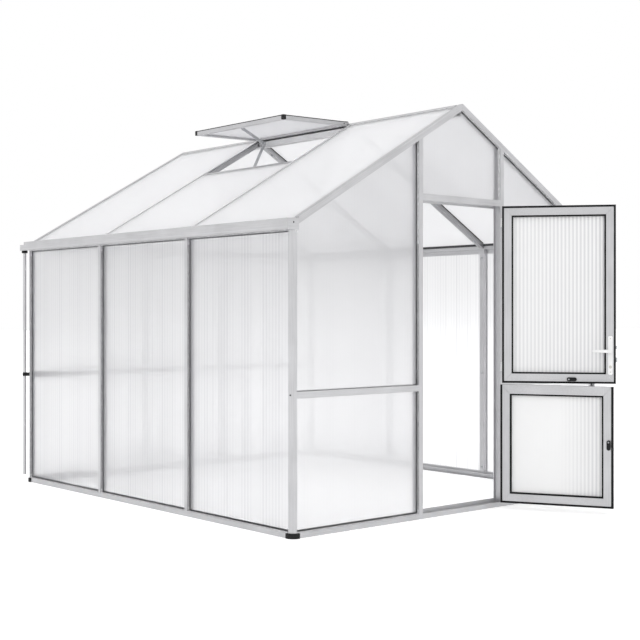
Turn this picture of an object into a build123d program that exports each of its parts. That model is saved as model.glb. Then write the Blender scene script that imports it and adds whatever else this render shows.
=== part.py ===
from build123d import *
import os
from math import cos, hypot, radians, sin, sqrt, tan

os.makedirs("parts", exist_ok=True)

# Overall size of the house, in millimetres
width = 2330.0
length = 2580.0
eave_height = 1475.0
roof_pitch = 30.0
side_bays = 3

# Glazing bars: a lip outside, a stem between the panels and a hollow flange inside
lip_width = 26.0
lip_thickness = 3.0
stem_width = 17.0
panel_setback = 14.0
panel_thickness = 6.0
flange_width = 36.0
wall_depth = 42.0
bar_wall = 2.5
panel_gap = 1.0

# Rails across the gables
rail_height = 31.0
mid_rail_height = 667.0
tie_rail_drop = 17.0
header_underside = 1624.0
header_height = 34.0

# Sills, corner posts and feet
sill_height = 25.0
sill_wall = 3.0
upstand_height = 12.0
ground_flange = 30.0
anchor_hole_radius = 4.5
anchor_spacing = 1800.0
post_radius = 30.0
post_reach = 36.0
foot_overhang = 7.0
foot_margin = 1.0

# Eaves with their gutters, and the rainwater pipes
gutter_drop = 39.0
fascia_height = 53.0
gutter_projection = 27.0
gutter_wall = 3.0
gutter_seam = 0.15
trough_inset = 10.0
eave_flange_drop = 10.0
eave_box_rise = 18.0
end_cap_thickness = 2.5
gutter_overhang = 50.0
stub_height = 36.0
pipe_radius = 10.0
pipe_wall = 1.5
pipe_offset = 7.0
pipe_behind = 25.0
pipe_ground_gap = 44.0
outlet_radius = 18.0
outlet_height = 15.0
clip_wall = 3.0
clip_height = 22.0
clip_arm = 8.0

# Roof bars, rafters and ridge, with depths measured square to the roof plane
roof_lip = 3.0
roof_cap_width = 16.0
roof_stem_width = 8.0
roof_bar_depth = 35.0
rafter_face = 30.0
rafter_lap = 8.0
rafter_web = 4.0
mitre_gap = 0.15
ridge_lip = 26.0
ridge_stem = 14.0
ridge_flange = 42.0
ridge_flange_thickness = 4.0
ridge_box = 44.0
ridge_depth = 60.0
ridge_seal = 6.0
roof_overhang = 4.0

# Roof vent, hinged beside the ridge and propped by a folding stay
vent_open = 29.0
vent_axis_run = 20.0
vent_axis_rise = 8.5
vent_start = 26.0
vent_end = 505.0
vent_thickness = 26.0
vent_rise = 17.0
vent_bar = 30.0
vent_rebate = 8.0
vent_side_gap = 10.0
vent_cap = 19.0
vent_cap_proud = 1.5
cross_bar_start = 490.0
cross_bar_stem = 508.0
cross_bar_stem_width = 4.0
cross_bar_lip = 16.0
cross_bar_end = 528.0
hinge_bead_radius = 3.5
hinge_bead_web = 2.5
hinge_curl_wall = 2.0
hinge_curl_gap = 0.6
hinge_foot = 10.0
hinge_foot_gap = 1.0
pin_radius = 3.0
running_gap = 0.05
stay_arm = 172.0
stay_width = 18.0
stay_thickness = 3.0
stay_gap = 0.5
stay_top_run = 463.0
stay_top_depth = 11.0
stay_foot_depth = 26.0
elbow_play = 3.0
elbow_travel = 12.0
bracket_thickness = 3.0
bracket_radius = 9.0

# Doorway and the two leaves of the door
door_width = 600.0
jamb_width = 28.0
stop_width = 10.0
stop_face = 38.5
threshold_stop = 18.0
leaf_gap = 5.0
leaf_setback = 2.0
leaf_thickness = 34.0
leaf_bar = 56.0
leaf_rebate = 8.0
leaf_lip = 12.0
lower_leaf_bottom = 33.0
lower_leaf_top = 664.0
upper_leaf_bottom = 676.0
upper_leaf_top = 1619.0
upper_open = 128.5
lower_open = 117.5
seal_thickness = 2.5
seal_face = 8.0
seal_lip = 2.0
hinge_stand_off = 10.0
door_knuckle_radius = 7.0
door_knuckle_length = 50.0
door_pin_radius = 3.5
hinge_flag = 26.0
hinge_flag_thickness = 4.0
upper_hinge_inset = 82.0
lower_hinge_inset = 90.0

# Lock and lever handles on the upper leaf
handle_rise = 171.0
handle_inset = 26.0
plate_width = 24.0
plate_above = 80.0
plate_below = 125.0
plate_thickness = 6.0
plate_corner = 8.0
spindle_radius = 8.0
lever_stand_off = 44.0
lever_length = 88.0
lever_height = 18.0
lever_thickness = 12.0
bolt_thickness = 12.0
bolt_length = 40.0
bolt_throw = 12.0
bolt_gap = 0.2
latch_rise = 20.0
latch_height = 18.0
dead_bolt_drop = 47.0
dead_bolt_height = 26.0
key_drop = 84.0
key_radius = 8.0
key_slot = 2.0
plug_proud = 1.0
keep_thickness = 2.0
keep_width = 22.0
keep_margin = 16.0
keep_play = 0.6

# Turn catches on the inner faces of the leaves
catch_width = 20.0
catch_reach = 32.0
catch_thickness = 8.0
catch_stand_off = 6.5
catch_boss_radius = 9.0
upper_catch_run = 353.0
upper_catch_rise = 20.0
lower_catch_inset = 20.0
lower_catch_rise = 343.0

# Values worked out from the sizes above
cos_pitch = cos(radians(roof_pitch))
sin_pitch = sin(radians(roof_pitch))
slope = tan(radians(roof_pitch))
half_width = width / 2
half_length = length / 2
ridge_height = eave_height + half_width * slope
seat_depth = panel_setback + panel_thickness
roof_seat = roof_lip + panel_thickness
bead_width = (lip_width - stem_width) / 2
post_stem = post_radius - bead_width
rafter_stem = rafter_face - bead_width
gutter_base = eave_height - gutter_drop
eave_flange_base = gutter_base - eave_flange_drop
eave_box_base = gutter_base + eave_box_rise
eave_inner = half_width - wall_depth
tongue_start = seat_depth + gutter_wall
bay = length / side_bays
foot_reach = wall_depth + foot_margin
half_door = door_width / 2
jamb_stem = half_door + jamb_width - bead_width
jamb_flange = jamb_stem + (flange_width - stem_width) / 2
tie_rail_height = eave_height - tie_rail_drop
slope_run = (half_width + roof_overhang) / cos_pitch
handle_height = upper_leaf_bottom + handle_rise
upper_hinge_heights = (upper_leaf_bottom + upper_hinge_inset, upper_leaf_top - upper_hinge_inset)
lower_hinge_heights = (lower_leaf_bottom + lower_hinge_inset, lower_leaf_top - lower_hinge_inset)
stud_places = [bay * i - half_length for i in range(1, side_bays)]
rear_stud_place = half_door + jamb_width / 2

# Each plane lies on an outer face, with Y up or up the slope and its normal pointing indoors
front = Plane((0, -half_length, 0), x_dir=(-1, 0, 0), z_dir=(0, 1, 0))
rear = Plane((0, half_length, 0), x_dir=(1, 0, 0), z_dir=(0, -1, 0))
left = Plane((-half_width, 0, 0), x_dir=(0, 1, 0), z_dir=(1, 0, 0))
right = Plane((half_width, 0, 0), x_dir=(0, -1, 0), z_dir=(-1, 0, 0))
ridge_point = (0, 0, ridge_height)
left_slope = Plane(ridge_point, x_dir=(0, 1, 0), z_dir=(sin_pitch, 0, -cos_pitch))
right_slope = Plane(ridge_point, x_dir=(0, -1, 0), z_dir=(-sin_pitch, 0, -cos_pitch))


def rectangle(start, end, bottom, top):
    """Corner points of an upright rectangle."""
    return [(start, bottom), (end, bottom), (end, top), (start, top)]


def layer(plane, points, start, end, mode=Mode.ADD):
    """Extrude an outline between two depths behind a plane."""
    with BuildSketch(plane.offset(start)) as outline:
        with BuildLine():
            Polyline(*points, close=True)
        make_face()
    extrude(outline.sketch, amount=end - start, mode=mode)


def upright(plane, place, section, bottom, top, mode=Mode.ADD):
    """Extrude a section of (along the wall, indoors) points between two heights."""
    head = Plane(plane.from_local_coords(Vector(place, top, 0)), x_dir=plane.x_dir, z_dir=(0, 0, -1))
    layer(head, section, 0, top - bottom, mode)


def rail(plane, section, start, end, mode=Mode.ADD):
    """Extrude a section of (indoors, up) points from one place along a wall to another."""
    across = Plane(plane.from_local_coords(Vector(end, 0, 0)), x_dir=plane.z_dir, z_dir=-plane.x_dir)
    layer(across, section, 0, end - start, mode)


def slope_bar(plane, section, start, end, mode=Mode.ADD):
    """Extrude a section of (along the ridge, depth) points down a slope, from the ridge."""
    head = Plane(plane.from_local_coords(Vector(0, -start, 0)), x_dir=plane.x_dir, z_dir=-plane.y_dir)
    layer(head, section, 0, end - start, mode)


def disc(plane, place, radius, start, end, mode=Mode.ADD):
    """Extrude a circle between two depths behind a plane."""
    with BuildSketch(plane.offset(start)) as outline:
        with Locations(place):
            Circle(radius)
    extrude(outline.sketch, amount=end - start, mode=mode)


def roof_line(place, depth):
    """Height of the line that lies at a depth below the roof, at a place across the house."""
    return ridge_height - abs(place) * slope - depth / cos_pitch


def left_roof_point(run, depth):
    """(X, Z) of a point on the left slope, by its distance from the ridge and its depth."""
    return (depth * sin_pitch - run * cos_pitch, ridge_height - run * sin_pitch - depth * cos_pitch)


def under_roof(start, end, bottom, depth):
    """Outline of a gable bay from a level base up to a line at a depth below the roof."""
    reach = (roof_line(0, depth) - bottom) / slope
    outline = [(start, bottom), (min(end, reach), bottom)]
    if end < reach:
        outline.append((end, roof_line(end, depth)))
    if start < 0 < end:
        outline.append((0, roof_line(0, depth)))
    return [*outline, (start, roof_line(start, depth))]


def both_sides(points):
    """Outline made of one half and its mirror image across the first axis."""
    return points + [(-x, y) for x, y in reversed(points)]


def two_hands(points):
    """An outline and its mirror image on the other side of the middle."""
    return points, [(-x, y) for x, y in points]


def save(name, builder):
    """Label a finished piece and write its file."""
    builder.part.label = name
    export_step(builder.part, f"parts/{name}.step")


# Sections of the bars, as (along the wall, indoors) points
half_lip = lip_width / 2
half_stem = stem_width / 2
half_flange = flange_width / 2
bar_front = both_sides(
    [(half_lip, 0), (half_lip, lip_thickness), (half_stem, lip_thickness), (half_stem, seat_depth)]
)
bar_flange = rectangle(-half_flange, half_flange, seat_depth, wall_depth)
bar_tongue = rectangle(-half_flange, half_flange, tongue_start, wall_depth)
bar_chamber = rectangle(
    bar_wall - half_flange, half_flange - bar_wall, seat_depth + bar_wall, wall_depth - bar_wall
)

# Feet: one black moulding under each corner post, which the sills butt against
with BuildPart() as corner_feet:
    with BuildSketch(Plane((-half_width, -half_length, 0))):
        with BuildLine():
            CenterArc((post_radius, post_radius), post_radius + foot_overhang, 180, 90)
            Polyline(
                (post_radius, -foot_overhang),
                (foot_reach, -foot_overhang),
                (foot_reach, foot_reach),
                (-foot_overhang, foot_reach),
                (-foot_overhang, post_radius),
            )
        make_face()
    extrude(amount=sill_height)
    mirror(about=Plane.YZ)
    mirror(about=Plane.XZ)
save("corner_feet", corner_feet)

# Sills: hollow base, upstand behind the panels and a ground flange indoors
sill_section = [
    (0, 0),
    (wall_depth, 0),
    (wall_depth, sill_height),
    (seat_depth + sill_wall, sill_height),
    (seat_depth + sill_wall, sill_height + upstand_height),
    (seat_depth, sill_height + upstand_height),
    (seat_depth, sill_height),
    (0, sill_height),
]
sill_chamber = rectangle(sill_wall, wall_depth - sill_wall, sill_wall, sill_height - sill_wall)
flange_section = rectangle(wall_depth, wall_depth + ground_flange, 0, sill_wall)
flange_setback = wall_depth + ground_flange + sill_wall
anchor_inset = wall_depth + ground_flange / 2


def sill(wall, span):
    """A sill between two feet, with its ground flange kept clear of the next sill's."""
    rail(wall, sill_section, foot_reach - span / 2, span / 2 - foot_reach)
    rail(wall, flange_section, flange_setback - span / 2, span / 2 - flange_setback)
    rail(wall, sill_chamber, foot_reach - span / 2, span / 2 - foot_reach, Mode.SUBTRACT)


with BuildPart() as side_sills:
    sill(left, length)
    for place in (-anchor_spacing / 2, anchor_spacing / 2):
        disc(Plane.XY, (anchor_inset - half_width, place), anchor_hole_radius, 0, sill_wall, Mode.SUBTRACT)
    mirror(about=Plane.YZ)
save("side_sills", side_sills)

with BuildPart() as rear_sill:
    sill(rear, width)
save("rear_sill", rear_sill)

# The front sill is the threshold too: in the doorway a stop takes the place of the upstand
with BuildPart() as front_sill:
    sill(front, width)
    doorway_upstand = rectangle(seat_depth, wall_depth, sill_height, sill_height + upstand_height)
    rail(front, doorway_upstand, -jamb_flange, jamb_flange, Mode.SUBTRACT)
    stop_section = rectangle(stop_face, wall_depth, sill_height, sill_height + threshold_stop)
    rail(front, stop_section, stop_width - half_door, half_door - stop_width)
save("front_sill", front_sill)

# Corner posts: round outside, with a groove for the panels of each wall
with BuildPart() as corner_posts:
    for top in (eave_flange_base, gutter_base, eave_box_base):
        with BuildSketch(Plane((-half_width, -half_length, sill_height))):
            with BuildLine():
                CenterArc((post_radius, post_radius), post_radius, 180, 90)
                Polyline(
                    (0, post_radius),
                    (lip_thickness, post_radius),
                    (lip_thickness, post_stem),
                    (seat_depth, post_stem),
                    (seat_depth, post_reach),
                    (post_reach, post_reach),
                    (post_reach, seat_depth),
                    (post_stem, seat_depth),
                    (post_stem, lip_thickness),
                    (post_radius, lip_thickness),
                    (post_radius, 0),
                )
            make_face()
            if top == gutter_base:
                Rectangle(seat_depth, post_reach, align=(Align.MIN, Align.MIN), mode=Mode.INTERSECT)
            if top == eave_box_base:
                with Locations((tongue_start, seat_depth)):
                    Rectangle(post_reach, post_reach, align=(Align.MIN, Align.MIN), mode=Mode.INTERSECT)
        extrude(amount=top - sill_height)
    mirror(about=Plane.YZ)
    mirror(about=Plane.XZ)
save("corner_posts", corner_posts)

# Glazing bars of the side walls, coped over the sill's upstand and under the eave
flange_base = sill_height + upstand_height
with BuildPart() as side_studs:
    for place in stud_places:
        upright(left, place, bar_front, sill_height, gutter_base)
        upright(left, place, bar_flange, flange_base, eave_flange_base)
        upright(left, place, bar_tongue, eave_flange_base, eave_box_base)
        upright(left, place, bar_chamber, flange_base, eave_box_base, Mode.SUBTRACT)
    mirror(about=Plane.YZ)
save("side_studs", side_studs)

# Room that the rafters take above the uprights of both gables
rafter_steps = [
    (0, lip_thickness, rafter_face),
    (lip_thickness, seat_depth, rafter_stem),
    (seat_depth, wall_depth, roof_bar_depth),
]
with BuildPart() as rafter_room:
    for start, end, depth in rafter_steps:
        underside = [(place, roof_line(place, depth)) for place in (-width, 0, width)]
        layer(front, [*underside, (width, 2 * ridge_height), (-width, 2 * ridge_height)], start, end)
    mirror(about=Plane.XZ)

with BuildPart() as rear_studs:
    for place in (-rear_stud_place, rear_stud_place):
        upright(rear, place, bar_front, sill_height, ridge_height)
        upright(rear, place, bar_flange, flange_base, ridge_height)
        upright(rear, place, bar_chamber, flange_base, ridge_height, Mode.SUBTRACT)
    add(rafter_room.part, mode=Mode.SUBTRACT)
save("rear_studs", rear_studs)

# Door jambs: a groove for the panels on one side, a stop for the door on the other
jamb_section = [
    (half_door, 0),
    (half_door + jamb_width, 0),
    (half_door + jamb_width, lip_thickness),
    (jamb_stem, lip_thickness),
    (jamb_stem, seat_depth),
    (jamb_flange, seat_depth),
    (jamb_flange, wall_depth),
    (half_door - stop_width, wall_depth),
    (half_door - stop_width, stop_face),
    (half_door, stop_face),
]
bolt_depth = leaf_setback + leaf_thickness / 2
keep_top = handle_height + latch_rise + latch_height / 2 + keep_margin
keep_bottom = handle_height - dead_bolt_drop - dead_bolt_height / 2 - keep_margin
bolt_rows = [
    (handle_height + latch_rise, latch_height),
    (handle_height - dead_bolt_drop, dead_bolt_height),
]
with BuildPart() as hinge_jamb:
    upright(front, 0, [(-u, v) for u, v in jamb_section], sill_height, ridge_height)
    add(rafter_room.part, mode=Mode.SUBTRACT)
save("hinge_jamb", hinge_jamb)

pocket_end = half_door - leaf_gap + bolt_throw + keep_play
pocket_half = bolt_thickness / 2 + keep_play
pocket = rectangle(half_door, pocket_end, bolt_depth - pocket_half, bolt_depth + pocket_half)
keep_section = rectangle(
    half_door, half_door + keep_thickness, bolt_depth - keep_width / 2, bolt_depth + keep_width / 2
)


def cut_pockets():
    """Pockets that take the two bolts."""
    for height, tall in bolt_rows:
        reach = tall / 2 + keep_play
        upright(front, 0, pocket, height - reach, height + reach, Mode.SUBTRACT)


with BuildPart() as latch_jamb:
    upright(front, 0, jamb_section, sill_height, ridge_height)
    add(rafter_room.part, mode=Mode.SUBTRACT)
    upright(front, 0, keep_section, keep_bottom, keep_top, Mode.SUBTRACT)
    cut_pockets()
save("latch_jamb", latch_jamb)

# Strike plate let into the jamb, with a hole for each bolt
with BuildPart() as latch_keep:
    upright(front, 0, keep_section, keep_bottom, keep_top)
    cut_pockets()
save("latch_keep", latch_keep)

# Header over the doorway, with a groove for the panel above and a stop for the door
header_top = header_underside + header_height
header_stem = header_top - bead_width
header_section = [
    (0, header_underside),
    (stop_face, header_underside),
    (stop_face, header_underside - stop_width),
    (wall_depth, header_underside - stop_width),
    (wall_depth, header_top),
    (seat_depth, header_top),
    (seat_depth, header_stem),
    (panel_setback, header_stem),
    (panel_setback, header_top),
    (0, header_top),
]
with BuildPart() as door_header:
    rail(front, header_section, -half_door, half_door)
    beside_stop = rectangle(half_door - stop_width, half_door, stop_face, wall_depth)
    for section in two_hands(beside_stop):
        upright(front, 0, section, header_underside - stop_width, header_top, Mode.SUBTRACT)
save("door_header", door_header)


def gable_rail(wall, height, front_ends, stem_ends, flange_ends):
    """A grooved rail whose front, stem and flange each reach their own ends."""
    steps = [
        (0, panel_setback, rail_height, front_ends),
        (panel_setback, seat_depth, stem_width, stem_ends),
        (seat_depth, wall_depth, flange_width, flange_ends),
    ]
    for start, end, tall, ends in steps:
        layer(wall, rectangle(*ends, height - tall / 2, height + tall / 2), start, end)


# Rails across the gables, between the posts and the uprights
post_ends = (half_width - post_radius, half_width - post_stem, half_width - post_reach)
jamb_ends = (half_door + jamb_width, jamb_stem, jamb_flange)
stud_ends = (rear_stud_place + half_lip, rear_stud_place + half_stem, rear_stud_place + half_flange)
inner_ends = (rear_stud_place - half_lip, rear_stud_place - half_stem, rear_stud_place - half_flange)
with BuildPart() as front_mid_rails:
    gable_rail(front, mid_rail_height, *zip(jamb_ends, post_ends))
    mirror(about=Plane.YZ)
save("front_mid_rails", front_mid_rails)

with BuildPart() as rear_mid_rails:
    gable_rail(rear, mid_rail_height, *zip(stud_ends, post_ends))
    mirror(about=Plane.YZ)
    gable_rail(rear, mid_rail_height, *[(-end, end) for end in inner_ends])
save("rear_mid_rails", rear_mid_rails)

with BuildPart() as rear_tie_rails:
    gable_rail(rear, tie_rail_height, *[(end, eave_inner) for end in stud_ends])
    mirror(about=Plane.YZ)
    gable_rail(rear, tie_rail_height, *[(-end, end) for end in inner_ends])
    add(rafter_room.part, mode=Mode.SUBTRACT)
save("rear_tie_rails", rear_tie_rails)

# Eave beams, each with a gutter floor and a fascia set on it: made on the right and mirrored
eave_places = (half_width - trough_inset, eave_inner)
eave_seat = [(place, roof_line(place, roof_seat)) for place in eave_places]
fascia_top = gutter_base + fascia_height
gutter_edge = half_width + gutter_projection
eave_section = [
    (half_width - tongue_start, eave_flange_base),
    (half_width - seat_depth, eave_flange_base),
    (half_width - seat_depth, gutter_base),
    (half_width - trough_inset, gutter_base),
    *eave_seat,
    (eave_inner, eave_box_base),
    (half_width - tongue_start, eave_box_base),
]
chamber_top = [(x, z - 2 * gutter_wall) for x, z in eave_seat]
eave_chamber = [
    (eave_inner + gutter_wall, eave_box_base + gutter_wall),
    (half_width - trough_inset - gutter_wall, eave_box_base + gutter_wall),
    (half_width - trough_inset - gutter_wall, chamber_top[0][1]),
    (eave_inner + gutter_wall, chamber_top[1][1]),
]
stub_inner = half_width - trough_inset
fascia_inner = gutter_edge - gutter_wall
stub_top = gutter_base + stub_height
stub_wall = rectangle(stub_inner - gutter_wall, stub_inner, gutter_base, stub_top)
trough_floor = rectangle(stub_inner + gutter_seam, gutter_edge, gutter_base, gutter_base + gutter_wall)
fascia_foot = gutter_base + gutter_wall + gutter_seam
fascia = rectangle(fascia_inner, gutter_edge, fascia_foot, fascia_top)
stub_fascia = rectangle(fascia_inner, gutter_edge, fascia_foot, stub_top)
gutter_end = length + gutter_overhang
behind_front = Plane((0, -half_length, 0), x_dir=(1, 0, 0), z_dir=(0, -1, 0))
pipe_place = (half_width + pipe_offset, half_length + pipe_behind)
pipe_bore = pipe_radius - pipe_wall
with BuildPart() as right_gutter:
    stub_end = end_cap_thickness - gutter_end
    layer(behind_front, eave_section, -end_cap_thickness, -length)
    layer(behind_front, eave_chamber, -end_cap_thickness, -length, Mode.SUBTRACT)
    layer(behind_front, stub_wall, -length, stub_end)
    layer(behind_front, trough_floor, -end_cap_thickness, stub_end)
    layer(behind_front, fascia, -end_cap_thickness, -length)
    layer(behind_front, stub_fascia, -length, stub_end)
    disc(Plane.XY, pipe_place, pipe_bore, gutter_base, gutter_base + gutter_wall, Mode.SUBTRACT)
save("right_gutter", right_gutter)

with BuildPart() as left_gutter:
    mirror(right_gutter.part, about=Plane.YZ)
save("left_gutter", left_gutter)

front_cap = [
    (eave_inner, gutter_base),
    (gutter_edge, gutter_base),
    (gutter_edge, fascia_top),
    (half_width - trough_inset, fascia_top),
    eave_seat[1],
]
rear_cap = rectangle(stub_inner - gutter_wall, gutter_edge, gutter_base, stub_top)
with BuildPart() as gutter_end_caps:
    layer(behind_front, front_cap, 0, -end_cap_thickness)
    layer(behind_front, rear_cap, stub_end, -gutter_end)
    mirror(about=Plane.YZ)
save("gutter_end_caps", gutter_end_caps)

# Rainwater pipes, hung from outlets under the gutters and clipped to the rear posts
with BuildPart() as gutter_outlets:
    outlet_foot = gutter_base - outlet_height
    disc(Plane.XY, pipe_place, outlet_radius, outlet_foot, gutter_base)
    disc(Plane.XY, pipe_place, pipe_radius + running_gap, outlet_foot, gutter_base, Mode.SUBTRACT)
    mirror(about=Plane.YZ)
save("gutter_outlets", gutter_outlets)

with BuildPart() as downpipes:
    disc(Plane.XY, pipe_place, pipe_radius, pipe_ground_gap, gutter_base)
    disc(Plane.XY, pipe_place, pipe_bore, pipe_ground_gap, gutter_base, Mode.SUBTRACT)
    mirror(about=Plane.YZ)
save("downpipes", downpipes)

post_centre = (half_width - post_radius, half_length - post_radius)
post_way = (post_centre[0] - pipe_place[0], post_centre[1] - pipe_place[1])
clip_plane = Plane((*pipe_place, mid_rail_height), x_dir=(*post_way, 0), z_dir=(0, 0, 1))
post_distance = hypot(*post_way)
half_clip = clip_height / 2
with BuildPart() as downpipe_clips:
    disc(clip_plane, (0, 0), pipe_radius + clip_wall, -half_clip, half_clip)
    layer(clip_plane, rectangle(0, post_distance, -clip_arm / 2, clip_arm / 2), -half_clip, half_clip)
    disc(clip_plane, (0, 0), pipe_radius + running_gap, -half_clip, half_clip, Mode.SUBTRACT)
    disc(clip_plane, (post_distance, 0), post_radius + running_gap, -half_clip, half_clip, Mode.SUBTRACT)
    mirror(about=Plane.YZ)
save("downpipe_clips", downpipe_clips)

# Gable rafters: mitred at the ridge and cut plumb against the eave beams
rafter_section = [
    (0, 0),
    (seat_depth + rafter_web + rafter_lap, 0),
    (seat_depth + rafter_web + rafter_lap, roof_lip),
    (seat_depth + rafter_web, roof_lip),
    (seat_depth + rafter_web, roof_seat),
    (wall_depth, roof_seat),
    (wall_depth, roof_bar_depth),
    (seat_depth, roof_bar_depth),
    (seat_depth, rafter_stem),
    (lip_thickness, rafter_stem),
    (lip_thickness, rafter_face),
    (0, rafter_face),
]
with BuildPart() as gable_rafters:
    slope_bar(left_slope, [(v - half_length, d) for v, d in rafter_section], -roof_bar_depth, slope_run)
    split(bisect_by=Plane.YZ.offset(-mitre_gap), keep=Keep.BOTTOM)
    split(bisect_by=Plane.YZ.offset(-eave_inner), keep=Keep.TOP)
    mirror(about=Plane.YZ)
    mirror(about=Plane.XZ)
save("gable_rafters", gable_rafters)

# Ridge bar: lips over the panels' upper edges, seats under them and a hollow box below
ridge_side = [
    left_roof_point(ridge_lip, 0),
    left_roof_point(ridge_lip, roof_lip),
    left_roof_point(ridge_stem, roof_lip),
    left_roof_point(ridge_stem, roof_seat),
    left_roof_point(ridge_flange, roof_seat),
    left_roof_point(ridge_flange, roof_seat + ridge_flange_thickness),
    (-ridge_box / 2, ridge_height - ridge_depth),
]
ridge_end = half_length - wall_depth
ridge_bore = ridge_box / 2 - 2 * bar_wall
ridge_bore_top = roof_line(ridge_bore, roof_seat + 2 * ridge_flange_thickness)
with BuildPart() as ridge_bar:
    layer(Plane.XZ, [(0, ridge_height), *both_sides(ridge_side)], -ridge_end, ridge_end)
    hollow = rectangle(-ridge_bore, ridge_bore, ridge_height - ridge_depth + bar_wall, ridge_bore_top)
    layer(Plane.XZ, hollow, -ridge_end, ridge_end, Mode.SUBTRACT)
save("ridge_bar", ridge_bar)

# Roof bars: a hollow flange under the panels and a low cap between them
ridge_clear = -left_roof_point(ridge_flange, roof_seat)[0]
half_cap = roof_cap_width / 2
half_roof_stem = roof_stem_width / 2
roof_cap_section = both_sides(
    [(half_cap, 0), (half_cap, roof_lip), (half_roof_stem, roof_lip), (half_roof_stem, roof_seat)]
)
roof_flange = rectangle(-half_flange, half_flange, roof_seat, roof_bar_depth)
roof_chamber = rectangle(
    bar_wall - half_flange, half_flange - bar_wall, roof_seat + bar_wall, roof_bar_depth - bar_wall
)


def moved(section, place):
    """A section shifted along the ridge."""
    return [(t + place, d) for t, d in section]


with BuildPart() as roof_bars:
    for place in stud_places:
        slope_bar(left_slope, moved(roof_flange, place), 0, slope_run)
        slope_bar(left_slope, moved(roof_chamber, place), 0, slope_run, Mode.SUBTRACT)
    split(bisect_by=Plane.YZ.offset(-ridge_clear), keep=Keep.BOTTOM)
    split(bisect_by=Plane.YZ.offset(-eave_inner), keep=Keep.TOP)
    for place in stud_places:
        slope_bar(left_slope, moved(roof_cap_section, place), ridge_lip, slope_run)
    mirror(about=Plane.YZ)
save("roof_bars", roof_bars)

# Cross bar below the roof vent: a rest for the vent and a lip over the short panel
cross_bar_section = [
    (cross_bar_start, roof_seat),
    (cross_bar_stem, roof_seat),
    (cross_bar_stem, 0),
    (cross_bar_stem + cross_bar_lip, 0),
    (cross_bar_stem + cross_bar_lip, roof_lip),
    (cross_bar_stem + cross_bar_stem_width, roof_lip),
    (cross_bar_stem + cross_bar_stem_width, roof_seat),
    (cross_bar_end, roof_seat),
    (cross_bar_end, roof_bar_depth),
    (cross_bar_start, roof_bar_depth),
]
cross_bar_half = bay / 2 - half_flange
with BuildPart() as vent_cross_bar:
    outline = [left_roof_point(*point) for point in cross_bar_section]
    layer(Plane.XZ, outline, -cross_bar_half, cross_bar_half)
save("vent_cross_bar", vent_cross_bar)

# Panels of the side walls, between the stems of the posts and bars
wall_edges = [-half_length, *stud_places, half_length]
edge_stems = [post_stem, *[half_stem] * len(stud_places), post_stem]
side_bay_spans = [
    (wall_edges[i] + edge_stems[i], wall_edges[i + 1] - edge_stems[i + 1]) for i in range(side_bays)
]
for name, wall in (("left_wall_panels", left), ("right_wall_panels", right)):
    with BuildPart() as wall_panels:
        for start, end in side_bay_spans:
            sheet = rectangle(start + panel_gap, end - panel_gap, sill_height, gutter_base - panel_gap)
            layer(wall, sheet, panel_setback, seat_depth)
    save(name, wall_panels)

with BuildPart() as side_wall_beads:
    for start, end in side_bay_spans:
        layer(left, rectangle(start, end, sill_height, gutter_base), lip_thickness, panel_setback)
        inside = rectangle(
            start + bead_width, end - bead_width, sill_height + bead_width, gutter_base - bead_width
        )
        layer(left, inside, lip_thickness, panel_setback, Mode.SUBTRACT)
    mirror(about=Plane.YZ)
save("side_wall_beads", side_wall_beads)

# Panels of the gables, notched round the eave beams
half_rail = rail_height / 2
post_edge = half_width - post_stem
panel_top = rafter_stem + panel_gap
with BuildPart() as eave_room:
    notch = rectangle(eave_inner - panel_gap, width, eave_flange_base - panel_gap, ridge_height)
    layer(Plane.XZ, notch, -length, length)
    mirror(about=Plane.YZ)


def low_sheet(wall, start, end, bottom, top):
    """A panel with level edges, in the grooves of a gable."""
    layer(wall, rectangle(start + panel_gap, end - panel_gap, bottom, top), panel_setback, seat_depth)


def top_sheet(wall, start, end, bottom):
    """A panel that ends in the groove of the rafters."""
    outline = under_roof(start + panel_gap, end - panel_gap, bottom, panel_top)
    layer(wall, outline, panel_setback, seat_depth)


with BuildPart() as front_gable_panels:
    low_sheet(front, jamb_stem, post_edge, sill_height, mid_rail_height - half_stem)
    top_sheet(front, jamb_stem, post_edge, mid_rail_height + half_stem)
    mirror(about=Plane.YZ)
    top_sheet(front, -half_door, half_door, header_stem)
    add(eave_room.part, mode=Mode.SUBTRACT)
save("front_gable_panels", front_gable_panels)

rear_edge = rear_stud_place + half_stem
rear_inner = rear_stud_place - half_stem
with BuildPart() as rear_gable_panels:
    low_sheet(rear, rear_edge, post_edge, sill_height, mid_rail_height - half_stem)
    low_sheet(rear, rear_edge, post_edge, mid_rail_height + half_stem, tie_rail_height - half_stem)
    top_sheet(rear, rear_edge, eave_inner, tie_rail_height + half_stem)
    mirror(about=Plane.YZ)
    low_sheet(rear, -rear_inner, rear_inner, sill_height, mid_rail_height - half_stem)
    low_sheet(rear, -rear_inner, rear_inner, mid_rail_height + half_stem, tie_rail_height - half_stem)
    top_sheet(rear, -rear_inner, rear_inner, tie_rail_height + half_stem)
    add(eave_room.part, mode=Mode.SUBTRACT)
save("rear_gable_panels", rear_gable_panels)


def low_bead(wall, start, end, bottom, top, over_sill):
    """Bead at the sides of a level panel, and along the sill where it stands on one."""
    inner_bottom = bottom + bead_width if over_sill else bottom
    layer(wall, rectangle(start, end, bottom, top), lip_thickness, panel_setback)
    inside = rectangle(start + bead_width, end - bead_width, inner_bottom, top)
    layer(wall, inside, lip_thickness, panel_setback, Mode.SUBTRACT)


def top_bead(wall, start, end, bottom):
    """Bead at the sides of a panel and along the rafters above it."""
    layer(wall, under_roof(start, end, bottom, rafter_stem), lip_thickness, panel_setback)
    inside = under_roof(start + bead_width, end - bead_width, bottom, rafter_face)
    layer(wall, inside, lip_thickness, panel_setback, Mode.SUBTRACT)


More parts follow.
